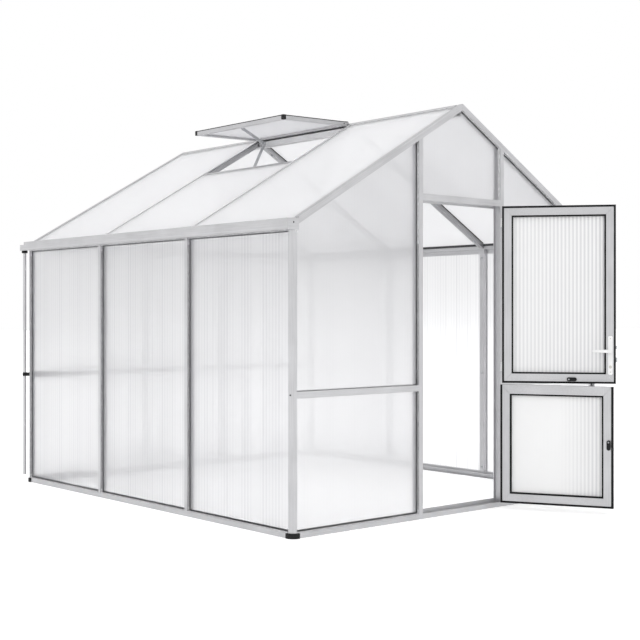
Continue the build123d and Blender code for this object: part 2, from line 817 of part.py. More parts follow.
with BuildPart() as gable_beads:
    low_bead(front, jamb_stem, post_edge, sill_height, mid_rail_height - half_rail, True)
    top_bead(front, jamb_stem, post_edge, mid_rail_height + half_rail)
    low_bead(rear, rear_edge, post_edge, sill_height, mid_rail_height - half_rail, True)
    low_bead(rear, rear_edge, post_edge, mid_rail_height + half_rail, tie_rail_height - half_rail, False)
    top_bead(rear, rear_edge, eave_inner, tie_rail_height + half_rail)
    mirror(about=Plane.YZ)
    top_bead(front, -half_door, half_door, header_top)
    low_bead(rear, -rear_inner, rear_inner, sill_height, mid_rail_height - half_rail, True)
    low_bead(rear, -rear_inner, rear_inner, mid_rail_height + half_rail, tie_rail_height - half_rail, False)
    top_bead(rear, -rear_inner, rear_inner, tie_rail_height + half_rail)
    add(eave_room.part, mode=Mode.SUBTRACT)
save("gable_beads", gable_beads)

# Roof panels, with the middle one on the left cut short below the vent
gable_edge = half_length - seat_depth - rafter_web
roof_edges = [-gable_edge, *stud_places, gable_edge]
roof_stems = [0, *[half_roof_stem] * len(stud_places), 0]
roof_spans = [
    (roof_edges[i] + roof_stems[i] + panel_gap, roof_edges[i + 1] - roof_stems[i + 1] - panel_gap)
    for i in range(side_bays)
]
vent_bay = side_bays // 2
short_start = cross_bar_stem + cross_bar_stem_width + panel_gap
with BuildPart() as left_roof_panels:
    for i, (start, end) in enumerate(roof_spans):
        top = short_start if i == vent_bay else ridge_stem + panel_gap
        layer(left_slope, rectangle(start, end, -slope_run, -top), roof_lip, roof_seat)
save("left_roof_panels", left_roof_panels)

with BuildPart() as right_roof_panels:
    for start, end in roof_spans:
        sheet = rectangle(start, end, -slope_run, -ridge_stem - panel_gap)
        layer(right_slope, sheet, roof_lip, roof_seat)
save("right_roof_panels", right_roof_panels)

# Dark seals along the ridge's lips, left out where the vent is
with BuildPart() as ridge_seals:
    for i, (start, end) in enumerate(roof_spans):
        span_start = max(start, rafter_lap + rafter_web + seat_depth - half_length)
        span_end = min(end, half_length - seat_depth - rafter_web - rafter_lap)
        lip_gap = half_cap - half_roof_stem
        strip = rectangle(span_start + lip_gap, span_end - lip_gap, -ridge_lip - ridge_seal, -ridge_lip)
        layer(right_slope, strip, 0, roof_lip)
        if i != vent_bay:
            layer(left_slope, strip, 0, roof_lip)
save("ridge_seals", ridge_seals)

# Roof vent, drawn open: its plane turns about the hinge axis beside the ridge
vent_slope = radians(roof_pitch - vent_open)
vent_axis = left_roof_point(vent_axis_run, -vent_axis_rise)
vent_point = (vent_axis[0], 0, vent_axis[1])
vent_plane = Plane(vent_point, x_dir=(0, 1, 0), z_dir=(sin(vent_slope), 0, -cos(vent_slope)))
vent_top = vent_axis_rise - vent_rise
vent_bottom = vent_top + vent_thickness
vent_half = bay / 2 - vent_side_gap
vent_near = vent_start - vent_axis_run
vent_far = vent_end - vent_axis_run
vent_sheet_top = vent_top + (vent_thickness - panel_thickness) / 2
vent_sheet_bottom = vent_sheet_top + panel_thickness
vent_depths = [
    (vent_top, vent_sheet_top, vent_bar),
    (vent_sheet_top, vent_sheet_bottom, vent_bar - vent_rebate),
    (vent_sheet_bottom, vent_bottom, vent_bar),
]


with BuildPart() as vent_frame:
    for start, end, face in vent_depths:
        layer(vent_plane, rectangle(-vent_half, vent_half, -vent_near - face, -vent_near), start, end)
        free_rail = rectangle(vent_cap - vent_half, vent_half - vent_cap, -vent_far, face - vent_far)
        layer(vent_plane, free_rail, start, end)
        side_ends = (vent_bar + mitre_gap - vent_far, -vent_near - vent_bar - mitre_gap)
        side_rail = rectangle(vent_half - face, vent_half, *side_ends)
        side_toe = rectangle(vent_half - vent_cap + mitre_gap, vent_half, vent_cap - vent_far, side_ends[0])
        for outline in two_hands(side_rail) + two_hands(side_toe):
            layer(vent_plane, outline, start, end)
save("vent_frame", vent_frame)

# Black corner pieces that join the vent's rails at its free edge
cap_face = rectangle(
    vent_half - vent_cap, vent_half + vent_cap_proud, -vent_far - vent_cap_proud, vent_cap - vent_far
)
with BuildPart() as vent_corner_caps:
    for outline in two_hands(cap_face):
        layer(vent_plane, outline, vent_top - vent_cap_proud, vent_bottom)
save("vent_corner_caps", vent_corner_caps)

with BuildPart() as vent_panel:
    groove = vent_bar - vent_rebate + panel_gap
    sheet = rectangle(groove - vent_half, vent_half - groove, groove - vent_far, -vent_near - groove)
    layer(vent_plane, sheet, vent_sheet_top, vent_sheet_bottom)
save("vent_panel", vent_panel)

# Hooked hinge: a bead along the ridge's lip, and a curl on the vent that turns about it
hinge_bore = hinge_bead_radius + running_gap
hinge_curl = hinge_bore + hinge_curl_wall
hinge_plate = vent_axis_rise - hinge_curl - hinge_curl_gap
half_web = hinge_bead_web / 2
with BuildPart() as vent_hinge_bead:
    bead_plane = Plane(vent_point, x_dir=-left_slope.y_dir, z_dir=(0, -1, 0))
    disc(bead_plane, (0, 0), hinge_bead_radius, -vent_half, vent_half)
    layer(bead_plane, rectangle(-half_web, half_web, 0, vent_axis_rise), -vent_half, vent_half)
    foot = rectangle(
        -hinge_foot, vent_near - hinge_foot_gap, vent_axis_rise - hinge_plate, vent_axis_rise
    )
    layer(bead_plane, foot, -vent_half, vent_half)
save("vent_hinge_bead", vent_hinge_bead)


def turned(point, angle):
    """A point turned about the hinge axis, from the slope towards the ridge."""
    along, down = point
    return (
        along * cos(radians(angle)) - down * sin(radians(angle)),
        along * sin(radians(angle)) + down * cos(radians(angle)),
    )


mouth_half = half_web + hinge_curl_gap
mouth_depth = 2 * hinge_curl
with BuildPart() as vent_hinge_curl:
    curl_plane = Plane(vent_point, x_dir=-vent_plane.y_dir, z_dir=(0, -1, 0))
    disc(curl_plane, (0, 0), hinge_curl, -vent_half, vent_half)
    flag = [(0, 0), (0, vent_top - hinge_plate), (vent_near + vent_bar / 2, vent_top - hinge_plate),
            (vent_near + vent_bar / 2, vent_top), (vent_near, vent_top), (vent_near, 0)]
    layer(curl_plane, flag, -vent_half, vent_half)
    disc(curl_plane, (0, 0), hinge_bore, -vent_half, vent_half, Mode.SUBTRACT)
    mouth = [
        (mouth_half, 0),
        (mouth_half, mouth_depth),
        turned((0, mouth_depth), vent_open / 2),
        turned((-mouth_half, mouth_depth), vent_open),
        turned((-mouth_half, 0), vent_open),
    ]
    layer(curl_plane, mouth, -vent_half, vent_half, Mode.SUBTRACT)
save("vent_hinge_curl", vent_hinge_curl)

# Folding stay: two flat arms that meet at an elbow, between brackets on the vent and the cross bar
stay_top_local = Vector(0, vent_axis_run - stay_top_run, stay_top_depth + vent_axis_rise)
stay_top_point = vent_plane.from_local_coords(stay_top_local)
stay_top = (stay_top_point.X, stay_top_point.Z)
stay_foot = left_roof_point(stay_top_run, stay_foot_depth)
stay_span = (stay_foot[0] - stay_top[0], stay_foot[1] - stay_top[1])
stay_bow = sqrt(stay_arm**2 / hypot(*stay_span) ** 2 - 0.25)
stay_elbow = (
    (stay_top[0] + stay_foot[0]) / 2 - stay_bow * stay_span[1],
    (stay_top[1] + stay_foot[1]) / 2 + stay_bow * stay_span[0],
)
arm_inner = stay_gap
arm_outer = stay_gap + stay_thickness
lug_inner = arm_outer + stay_gap
lug_outer = lug_inner + bracket_thickness


def link(start_point, end_point, start, end):
    """A flat arm with round ends."""
    with BuildSketch(Plane.XZ.offset(start)) as outline:
        with Locations(start_point, end_point):
            Circle(stay_width / 2)
        make_hull()
    extrude(outline.sketch, amount=end - start)


with BuildPart() as stay_upper_arm:
    link(stay_top, stay_elbow, -arm_outer, -arm_inner)
    disc(Plane.XZ, stay_top, pin_radius + running_gap, -arm_outer, -arm_inner, Mode.SUBTRACT)
    disc(Plane.XZ, stay_elbow, pin_radius, -arm_outer, arm_outer + stay_gap)
save("stay_upper_arm", stay_upper_arm)

foot_way = (stay_foot[0] - stay_elbow[0], stay_foot[1] - stay_elbow[1])
with BuildPart() as stay_lower_arm:
    link(stay_foot, stay_elbow, arm_inner, arm_outer)
    disc(Plane.XZ, stay_foot, pin_radius + running_gap, arm_inner, arm_outer, Mode.SUBTRACT)
    slot_end = tuple(stay_elbow[i] + foot_way[i] * elbow_travel / stay_arm for i in range(2))
    with BuildSketch(Plane.XZ.offset(arm_inner)) as elbow_slot:
        with Locations(stay_elbow, slot_end):
            Circle(pin_radius + elbow_play)
        make_hull()
    extrude(elbow_slot.sketch, amount=stay_thickness, mode=Mode.SUBTRACT)
save("stay_lower_arm", stay_lower_arm)

# Lugs for the stay: (distance from the pivot, depth) outlines in the vent's and the roof's slope
top_reach = vent_far - vent_bar - (stay_top_run - vent_axis_run)
foot_run = cross_bar_start - stay_top_run
with BuildPart() as vent_stay_bracket:
    lug_plane = Plane((stay_top[0], 0, stay_top[1]), x_dir=-vent_plane.y_dir, z_dir=(0, -1, 0))
    lug_rise = stay_top_local.Z - vent_sheet_bottom - panel_gap
    disc(lug_plane, (0, 0), bracket_radius, -lug_outer, -lug_inner)
    layer(lug_plane, rectangle(0, top_reach, -lug_rise, 0), -lug_outer, -lug_inner)
    lug_drop = vent_bottom - stay_top_local.Z
    base = rectangle(top_reach - bracket_thickness, top_reach, -lug_rise, lug_drop)
    layer(lug_plane, base, -lug_inner - stay_width, -lug_inner)
    disc(lug_plane, (0, 0), pin_radius, -lug_outer, -arm_inner)
save("vent_stay_bracket", vent_stay_bracket)

with BuildPart() as stay_fixed_bracket:
    lug_plane = Plane((stay_foot[0], 0, stay_foot[1]), x_dir=-left_slope.y_dir, z_dir=(0, -1, 0))
    disc(lug_plane, (0, 0), bracket_radius, lug_inner, lug_outer)
    layer(lug_plane, rectangle(0, foot_run, -bracket_radius, bracket_radius), lug_inner, lug_outer)
    base = rectangle(foot_run - bracket_thickness, foot_run, -bracket_radius, bracket_radius)
    layer(lug_plane, base, lug_inner, lug_inner + stay_width)
    disc(lug_plane, (0, 0), pin_radius, arm_inner, lug_outer)
save("stay_fixed_bracket", stay_fixed_bracket)


def leaf_plane(angle):
    """Plane of an open leaf: X from the hinge to the lock, Y up, normal towards its inner face."""
    along = (-cos(radians(angle)), -sin(radians(angle)), 0)
    inward = (-sin(radians(angle)), cos(radians(angle)), 0)
    return Plane((half_door, -half_length - hinge_stand_off, 0), x_dir=along, z_dir=inward)


# Depths of the leaves, measured from the hinge axis
leaf_outer = hinge_stand_off + leaf_setback
leaf_inner = leaf_outer + leaf_thickness
leaf_sheet_outer = leaf_outer + leaf_lip
leaf_sheet_inner = leaf_sheet_outer + panel_thickness
leaf_start = leaf_gap
leaf_end = door_width - leaf_gap
upper_plane = leaf_plane(upper_open)
lower_plane = leaf_plane(lower_open)
handle_run = leaf_end - handle_inset
bolt_centre = (leaf_outer + leaf_inner) / 2
bolt_front = bolt_centre - bolt_thickness / 2
bolt_back = bolt_centre + bolt_thickness / 2


def mitred_bars(bottom, top, face):
    """Outlines of a leaf's bottom rail, top rail, hinge stile and lock stile."""
    low = [
        (leaf_start + mitre_gap, bottom),
        (leaf_end - mitre_gap, bottom),
        (leaf_end - face - mitre_gap, bottom + face),
        (leaf_start + face + mitre_gap, bottom + face),
    ]
    near = [
        (leaf_start, bottom + mitre_gap),
        (leaf_start + face, bottom + face + mitre_gap),
        (leaf_start + face, top - face - mitre_gap),
        (leaf_start, top - mitre_gap),
    ]
    high = [(a, bottom + top - z) for a, z in low]
    far = [(leaf_start + leaf_end - a, z) for a, z in near]
    return low, high, near, far


def leaf_frame(plane, bottom, top):
    """Four mitred bars with a rebate for the panel, open towards the inner face."""
    for outline in mitred_bars(bottom, top, leaf_bar):
        layer(plane, outline, leaf_outer, leaf_sheet_outer)
    for outline in mitred_bars(bottom, top, leaf_bar - leaf_rebate):
        layer(plane, outline, leaf_sheet_outer, leaf_inner)


def leaf_inside(bottom, top, inset):
    """Rectangle set in from the edges of a leaf."""
    return rectangle(leaf_start + inset, leaf_end - inset, bottom + inset, top - inset)


def leaf_bead(plane, bottom, top):
    """Black bead that holds the panel in its rebate."""
    layer(plane, leaf_inside(bottom, top, leaf_bar - leaf_rebate), leaf_sheet_inner, leaf_inner)
    layer(plane, leaf_inside(bottom, top, leaf_bar), leaf_sheet_inner, leaf_inner, Mode.SUBTRACT)


def leaf_seal(plane, bottom, top, over_top):
    """Black seal round the edges of a leaf, with a lip on its inner face."""
    rim_top = top + seal_thickness if over_top else top
    cut_top = 0 if over_top else leaf_bar
    edges = (leaf_start - seal_thickness, leaf_end + seal_thickness)
    rim = rectangle(*edges, bottom - seal_thickness, rim_top)
    layer(plane, rim, leaf_sheet_outer, leaf_inner + seal_lip)
    leaf = rectangle(leaf_start, leaf_end, bottom, top + cut_top)
    layer(plane, leaf, leaf_outer, leaf_inner, Mode.SUBTRACT)
    face_edges = (leaf_start + seal_face, leaf_end - seal_face)
    face = rectangle(*face_edges, bottom + seal_face, top - seal_face + 2 * cut_top)
    layer(plane, face, leaf_inner, leaf_inner + seal_lip, Mode.SUBTRACT)


def bolt_outlines(throw, gap):
    """Outlines of the latch bolt and the dead bolt, with room to draw back and a gap around."""
    ends = (leaf_end + bolt_throw - bolt_length - throw - gap, leaf_end + bolt_throw + gap)
    reaches = [(height, tall / 2 + gap) for height, tall in bolt_rows]
    return [rectangle(*ends, height - reach, height + reach) for height, reach in reaches]


# Upper leaf: frame, panel, bead and seal
lever_place = (handle_run, handle_height)
key_place = (handle_run, handle_height - key_drop)


def lock_holes(start, end):
    """Round holes for the lever's spindle and the key cylinder."""
    disc(upper_plane, lever_place, spindle_radius + running_gap, start, end, Mode.SUBTRACT)
    disc(upper_plane, key_place, key_radius + running_gap, start, end, Mode.SUBTRACT)


def bolt_slots():
    """Ways for the two bolts through the lock stile and its seal."""
    for outline in bolt_outlines(bolt_throw, bolt_gap):
        layer(upper_plane, outline, bolt_front - bolt_gap, bolt_back + bolt_gap, Mode.SUBTRACT)


with BuildPart() as upper_leaf_frame:
    leaf_frame(upper_plane, upper_leaf_bottom, upper_leaf_top)
    bolt_slots()
    lock_holes(leaf_outer, leaf_inner)
save("upper_leaf_frame", upper_leaf_frame)

panel_inset = leaf_bar - leaf_rebate + panel_gap
with BuildPart() as upper_leaf_panel:
    sheet = leaf_inside(upper_leaf_bottom, upper_leaf_top, panel_inset)
    layer(upper_plane, sheet, leaf_sheet_outer, leaf_sheet_inner)
save("upper_leaf_panel", upper_leaf_panel)

with BuildPart() as upper_leaf_bead:
    leaf_bead(upper_plane, upper_leaf_bottom, upper_leaf_top)
save("upper_leaf_bead", upper_leaf_bead)

with BuildPart() as upper_leaf_seal:
    leaf_seal(upper_plane, upper_leaf_bottom, upper_leaf_top, True)
    bolt_slots()
save("upper_leaf_seal", upper_leaf_seal)

# Lower leaf, with no seal along its top edge
with BuildPart() as lower_leaf_frame:
    leaf_frame(lower_plane, lower_leaf_bottom, lower_leaf_top)
save("lower_leaf_frame", lower_leaf_frame)

with BuildPart() as lower_leaf_panel:
    sheet = leaf_inside(lower_leaf_bottom, lower_leaf_top, panel_inset)
    layer(lower_plane, sheet, leaf_sheet_outer, leaf_sheet_inner)
save("lower_leaf_panel", lower_leaf_panel)

with BuildPart() as lower_leaf_bead:
    leaf_bead(lower_plane, lower_leaf_bottom, lower_leaf_top)
save("lower_leaf_bead", lower_leaf_bead)

with BuildPart() as lower_leaf_seal:
    leaf_seal(lower_plane, lower_leaf_bottom, lower_leaf_top, False)
save("lower_leaf_seal", lower_leaf_seal)

# Door hinges: fixed halves on the jamb carry the pins, the other halves turn with the leaves
closed_plane = leaf_plane(0)
half_door_knuckle = door_knuckle_length / 2


def hinge_half(plane, sections, height, bottom, top):
    """Knuckle and flag of one hinge half, between two heights about its middle."""
    across = Plane(plane.from_local_coords(Vector(0, height, 0)), x_dir=plane.x_dir, z_dir=(0, 0, -1))
    disc(across, (0, 0), door_knuckle_radius, -top, -bottom)
    for section in sections:
        layer(across, section, -top, -bottom)
    return across


jamb_flag = rectangle(-hinge_flag, 0, hinge_stand_off - hinge_flag_thickness, hinge_stand_off)
jamb_web = rectangle(-door_knuckle_radius, 0, 0, hinge_stand_off)
leaf_flag = rectangle(leaf_start, leaf_start + hinge_flag, leaf_outer - hinge_flag_thickness, leaf_outer)
leaf_web = rectangle(0, leaf_start + hinge_flag_thickness, 0, leaf_outer - hinge_flag_thickness)
with BuildPart() as door_hinge_fixed:
    for height in (*upper_hinge_heights, *lower_hinge_heights):
        across = hinge_half(closed_plane, (jamb_flag, jamb_web), height, -half_door_knuckle, 0)
        disc(across, (0, 0), door_pin_radius, -half_door_knuckle, half_door_knuckle)
save("door_hinge_fixed", door_hinge_fixed)

for name, plane, heights in (
    ("upper_leaf_hinges", upper_plane, upper_hinge_heights),
    ("lower_leaf_hinges", lower_plane, lower_hinge_heights),
):
    with BuildPart() as leaf_hinges:
        for height in heights:
            across = hinge_half(plane, (leaf_flag, leaf_web), height, mitre_gap, half_door_knuckle)
            disc(across, (0, 0), door_pin_radius + running_gap, -half_door_knuckle, 0, Mode.SUBTRACT)
    save(name, leaf_hinges)

# Handle plates on both faces of the upper leaf
plate_middle = (handle_run, handle_height + (plate_above - plate_below) / 2)
with BuildPart() as handle_plates:
    for start in (leaf_outer - plate_thickness, leaf_inner):
        with BuildSketch(upper_plane.offset(start)):
            with Locations(plate_middle):
                RectangleRounded(plate_width, plate_above + plate_below, plate_corner)
        extrude(amount=plate_thickness)
        lock_holes(start, start + plate_thickness)
save("handle_plates", handle_plates)

# Lever handles: one spindle with a lever on each face
with BuildPart() as lever_handles:
    lever_ends = (leaf_outer - lever_stand_off, leaf_inner + lever_stand_off)
    disc(upper_plane, lever_place, spindle_radius, *lever_ends)
    for start in (lever_ends[0], lever_ends[1] - lever_thickness):
        with BuildSketch(upper_plane.offset(start)) as lever:
            with Locations(lever_place):
                Circle(lever_height / 2)
            with Locations((handle_run - lever_length, handle_height)):
                Circle(lever_height / 3)
            make_hull()
        extrude(lever.sketch, amount=lever_thickness)
save("lever_handles", lever_handles)

# Bolts and key cylinder
latch_box, dead_box = bolt_outlines(0, 0)
with BuildPart() as latch_bolt:
    layer(upper_plane, latch_box, bolt_front, bolt_back)
    nose = latch_bolt.faces().sort_by(Axis(upper_plane.origin, upper_plane.x_dir))[-1]
    inner_edge = nose.edges().sort_by(Axis(upper_plane.origin, upper_plane.z_dir))[-1]
    chamfer(inner_edge, length=bolt_throw * 0.75, length2=bolt_thickness * 0.75)
save("latch_bolt", latch_bolt)

with BuildPart() as dead_bolt:
    layer(upper_plane, dead_box, bolt_front, bolt_back)
save("dead_bolt", dead_bolt)

with BuildPart() as lock_plug:
    plug_start = leaf_outer - plate_thickness - plug_proud
    plug_end = leaf_inner + plate_thickness + plug_proud
    disc(upper_plane, key_place, key_radius, plug_start, plug_end)
    slot_half = (key_slot / 2, key_radius * 0.6)
    slot = rectangle(
        key_place[0] - slot_half[0], key_place[0] + slot_half[0],
        key_place[1] - slot_half[1], key_place[1] + slot_half[1],
    )
    for start in (plug_start, plug_end - plate_thickness):
        layer(upper_plane, slot, start, start + plate_thickness, Mode.SUBTRACT)
save("lock_plug", lock_plug)


def turn_catch(plane, pivot, tip):
    """A six-sided boss on a leaf's inner face with a flat wing that swings over the next frame."""
    wing_start = leaf_inner + catch_stand_off
    with BuildSketch(plane.offset(leaf_inner)) as boss:
        with Locations(pivot):
            RegularPolygon(catch_boss_radius, 6)
    extrude(boss.sketch, amount=catch_stand_off)
    with BuildSketch(plane.offset(wing_start)) as wing:
        with Locations(pivot, tip):
            Circle(catch_width / 2)
        make_hull()
    extrude(wing.sketch, amount=catch_thickness)


upper_pivot = (upper_catch_run, upper_leaf_bottom + upper_catch_rise)
lower_pivot = (leaf_end - lower_catch_inset, lower_leaf_bottom + lower_catch_rise)
with BuildPart() as upper_turn_catch:
    turn_catch(upper_plane, upper_pivot, (upper_pivot[0] + catch_reach, upper_pivot[1]))
save("upper_turn_catch", upper_turn_catch)

with BuildPart() as lower_turn_catch:
    turn_catch(lower_plane, lower_pivot, (lower_pivot[0], lower_pivot[1] - catch_reach))
save("lower_turn_catch", lower_turn_catch)
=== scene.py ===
from math import cos, pi, radians, sin, tan

import bmesh
import bpy
from mathutils import Matrix, Vector


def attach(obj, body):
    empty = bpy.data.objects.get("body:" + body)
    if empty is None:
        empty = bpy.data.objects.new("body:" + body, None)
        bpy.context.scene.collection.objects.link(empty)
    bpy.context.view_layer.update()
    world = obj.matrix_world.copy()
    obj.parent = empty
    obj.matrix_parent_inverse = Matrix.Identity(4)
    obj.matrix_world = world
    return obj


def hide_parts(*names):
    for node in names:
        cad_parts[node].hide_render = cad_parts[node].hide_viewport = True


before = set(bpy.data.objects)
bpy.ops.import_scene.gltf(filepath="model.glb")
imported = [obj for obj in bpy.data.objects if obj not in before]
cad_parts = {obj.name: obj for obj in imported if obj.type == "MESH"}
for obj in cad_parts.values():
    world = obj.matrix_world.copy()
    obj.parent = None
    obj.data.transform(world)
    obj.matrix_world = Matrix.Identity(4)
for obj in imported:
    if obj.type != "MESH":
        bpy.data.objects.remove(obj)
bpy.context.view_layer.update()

# Corner feet: four black caps moulded in polypropylene, pushed onto the lower ends of the corner posts.
# They carry the house on the ground and close the ends of the posts.
MM = 0.001
MOULD_ROUND = 2.0 * MM
WELD = 0.001 * MM
FLAT_ANGLE, SHARP_ANGLE, CREASE_ANGLE = radians(0.5), radians(40), radians(35)
# Most values of a noise lie in this band, which is spread over the whole range of a finish.
NOISE_LOW, NOISE_HIGH = 0.3, 0.7
NOISE_BAND = {"From Min": NOISE_LOW, "From Max": NOISE_HIGH}


def linear(code):
    """An sRGB hex colour as the linear colour that a shader socket takes."""
    parts = [int(code[start:start + 2], 16) / 255 for start in (1, 3, 5)]
    light = [part / 12.92 if part <= 0.04045 else ((part + 0.055) / 1.055) ** 2.4 for part in parts]
    return (*light, 1)


def add_node(owner, kind, links=(), values=(), **settings):
    """One more node: settings are its own fields, values its sockets, links the outputs that feed it."""
    node = owner.node_tree.nodes.new(kind)
    for field, value in settings.items():
        setattr(node, field, value)
    for socket, value in dict(values).items():
        node.inputs[socket].default_value = value
    for socket, source in dict(links).items():
        owner.node_tree.links.new(source, node.inputs[socket])
    return node


def start_material(name, **sockets):
    """A new material, its shader and its Object coordinates; _ in a socket's name stands for a space."""
    material = bpy.data.materials.new(name)
    material.use_nodes = True
    shader = material.node_tree.nodes["Principled BSDF"]
    for socket, value in sockets.items():
        shader.inputs[socket.replace("_", " ")].default_value = value
    return material, shader, add_node(material, "ShaderNodeTexCoord").outputs["Object"]


def feed(owner, shader, **sources):
    """Links outputs into a shader's sockets by name, _ standing for a space."""
    for socket, source in sources.items():
        owner.node_tree.links.new(source, shader.inputs[socket.replace("_", " ")])


def tint_between(material, source, dark, light, low=NOISE_LOW, high=NOISE_HIGH):
    """A colour that goes from dark to light as the source goes from low to high."""
    ramp = add_node(material, "ShaderNodeValToRGB", {"Fac": source})
    for stop, place, colour in zip(ramp.color_ramp.elements, (low, high), (dark, light)):
        stop.position = place
        stop.color = linear(colour)
    return ramp.outputs["Color"]


def soft_copy(node, rounding):
    """A copy of a CAD node's mesh with its sharp outer edges rounded, as the real piece has them."""
    shape = bmesh.new()
    shape.from_mesh(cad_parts[node].data)
    bmesh.ops.remove_doubles(shape, verts=shape.verts, dist=WELD)
    bmesh.ops.dissolve_limit(shape, angle_limit=FLAT_ANGLE, verts=shape.verts, edges=shape.edges)
    sharp = [edge for edge in shape.edges if edge.is_convex and edge.calc_face_angle() > SHARP_ANGLE]
    bmesh.ops.bevel(shape, geom=sharp, offset=rounding, offset_type="OFFSET", segments=2, profile=0.5,
                    affect="EDGES", material=-1, clamp_overlap=True)
    return shape


def add_piece(name, shape, material, body, slot, *stands_for):
    """Makes a finished shape an object that rides on a body and may stand for CAD nodes."""
    mesh = bpy.data.meshes.new(name)
    for face in shape.faces:
        face.smooth = True
    shape.to_mesh(mesh)
    shape.free()
    mesh.set_sharp_from_angle(angle=CREASE_ANGLE)
    mesh.materials.append(material)
    piece = bpy.data.objects.new(name, mesh)
    bpy.context.scene.collection.objects.link(piece)
    piece.modifiers.new("flat_faces", "WEIGHTED_NORMAL").keep_sharp = True
    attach(piece, body)
    if stands_for:
        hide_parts(*stands_for)


def round_off(name, node, rounding, material, body, slot):
    """Puts a copy with rounded edges in the place of a CAD node."""
    add_piece(name, soft_copy(node, rounding), material, body, slot, node)


# Moulded polypropylene: an even spark-eroded grain scatters the highlights, and rubbed places are duller.
RUBBED_WIDTH, GRAIN_RELIEF = 40 * MM, 0.2 * MM


def moulded_plastic(name, dark, light, grain, sheen):
    """A grained skin, from its colours, the width of its grain and its specular level."""
    material, shader, place = start_material(name, IOR=1.49, Specular_IOR_Level=sheen)
    pits = add_node(material, "ShaderNodeTexNoise", {"Vector": place},
                    {"Scale": 1 / grain, "Detail": 3, "Roughness": 0.6})
    rubbed = add_node(material, "ShaderNodeTexNoise", {"Vector": place},
                      {"Scale": 1 / RUBBED_WIDTH, "Detail": 4})
    dull = add_node(material, "ShaderNodeMapRange", {"Value": rubbed.outputs["Fac"]},
                    {**NOISE_BAND, "To Min": 0.4, "To Max": 0.62})
    relief = add_node(material, "ShaderNodeBump", {"Height": pits.outputs["Fac"]},
                      {"Strength": 0.25, "Distance": GRAIN_RELIEF})
    feed(material, shader, Base_Color=tint_between(material, rubbed.outputs["Fac"], dark, light),
         Roughness=dull.outputs["Result"], Normal=relief.outputs["Normal"])
    return material


# The grain is really about 0.1 mm; it is drawn ten times as coarse, so that it shows.
black_polypropylene = moulded_plastic("black_polypropylene", "#0e0e0f", "#1e1e20", grain=1.0 * MM,
                                      sheen=0.25)
round_off("foot_mouldings", "corner_feet", MOULD_ROUND, black_polypropylene, "house", "black_plastic")

# Frame bars of the walls: sills, posts, studs, rails and jambs, extruded in aluminium and cut square.
# They are bolted to each other behind their lips, and hold the sheets in their grooves.
BAR_ROUND = 0.4 * MM
# A pattern scaled down to this along a bar is drawn out to lines.
ALONG = 0.02


def dress(material, *nodes):
    """Puts a material on every slot of the CAD nodes."""
    for node in nodes:
        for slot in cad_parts[node].material_slots:
            slot.material = material


def draw_bars(material, *nodes):
    """Puts bars with rounded edges in place of the CAD nodes."""
    for node in nodes:
        round_off("drawn_" + node, node, BAR_ROUND, material, "house", "aluminium")


# Mill-finished aluminium: matt grey-white, with the fine lines that the die draws along each bar
# and broad pale clouds where the skin has weathered. The lines are drawn coarser than real, to show.
LINE_WIDTH, LINE_RELIEF, CLOUD_WIDTH = 4 * MM, 0.3 * MM, 160 * MM


def die_lines(material, place, stretch):
    """Fine lines along the direction that stretch keeps small."""
    drawn = add_node(material, "ShaderNodeMapping", {"Vector": place}, {"Scale": stretch})
    lines = add_node(material, "ShaderNodeTexNoise", {"Vector": drawn.outputs["Vector"]},
                     {"Scale": 1 / LINE_WIDTH, "Detail": 4, "Roughness": 0.65})
    return lines.outputs["Fac"]


def metal_skin(material, shader, place, lines, dark="#b4b4b6", light="#cfcfd1", rough=(0.36, 0.5)):
    """Gives a metal its lines and clouds, in colour, roughness and relief."""
    clouds = add_node(material, "ShaderNodeTexNoise", {"Vector": place},
                      {"Scale": 1 / CLOUD_WIDTH, "Detail": 3})
    mixed = add_node(material, "ShaderNodeMix", {"A": lines, "B": clouds.outputs["Fac"]}, {"Factor": 0.4})
    skin = mixed.outputs["Result"]
    dull = add_node(material, "ShaderNodeMapRange", {"Value": skin},
                    {**NOISE_BAND, "To Min": rough[0], "To Max": rough[1]})
    relief = add_node(material, "ShaderNodeBump", {"Height": lines},
                      {"Strength": 0.06, "Distance": LINE_RELIEF})
    feed(material, shader, Base_Color=tint_between(material, skin, dark, light),
         Roughness=dull.outputs["Result"], Normal=relief.outputs["Normal"])
    return material


def drawn_aluminium(name, stretch):
    """Aluminium with its die lines along one axis of the house."""
    material, shader, place = start_material(name, Metallic=1)
    return metal_skin(material, shader, place, die_lines(material, place, stretch))


upright_aluminium = drawn_aluminium("mill_aluminium_upright", (1, 1, ALONG))
cross_aluminium = drawn_aluminium("mill_aluminium_across", (ALONG, 1, 1))
long_aluminium = drawn_aluminium("mill_aluminium_lengthwise", (1, ALONG, 1))
draw_bars(upright_aluminium, "corner_posts", "side_studs", "latch_jamb", "hinge_jamb", "rear_studs")
draw_bars(cross_aluminium, "front_sill", "rear_sill", "door_header", "front_mid_rails", "rear_mid_rails",
          "rear_tie_rails")
dress(long_aluminium, "side_sills")

# Screws of the frame: pan heads with a socket, on the round of each post where the mid rails meet it.
# They are cold headed, drawn nearly black, and stand a little proud of the post.
HALF_WIDTH, HALF_LENGTH, MID_RAIL = 1165 * MM, 1290 * MM, 667 * MM
POST_ROUND, POST_SCREW_TURN = 30 * MM, radians(25)
# A screw's size is the radius and height of its head, and the rest are shares of these.
FRAME_SCREW = (4.0 * MM, 2.2 * MM)
CROWN_SHARE, RIM_SHARE, SOCKET_SHARE = 0.75, 0.3, 0.7


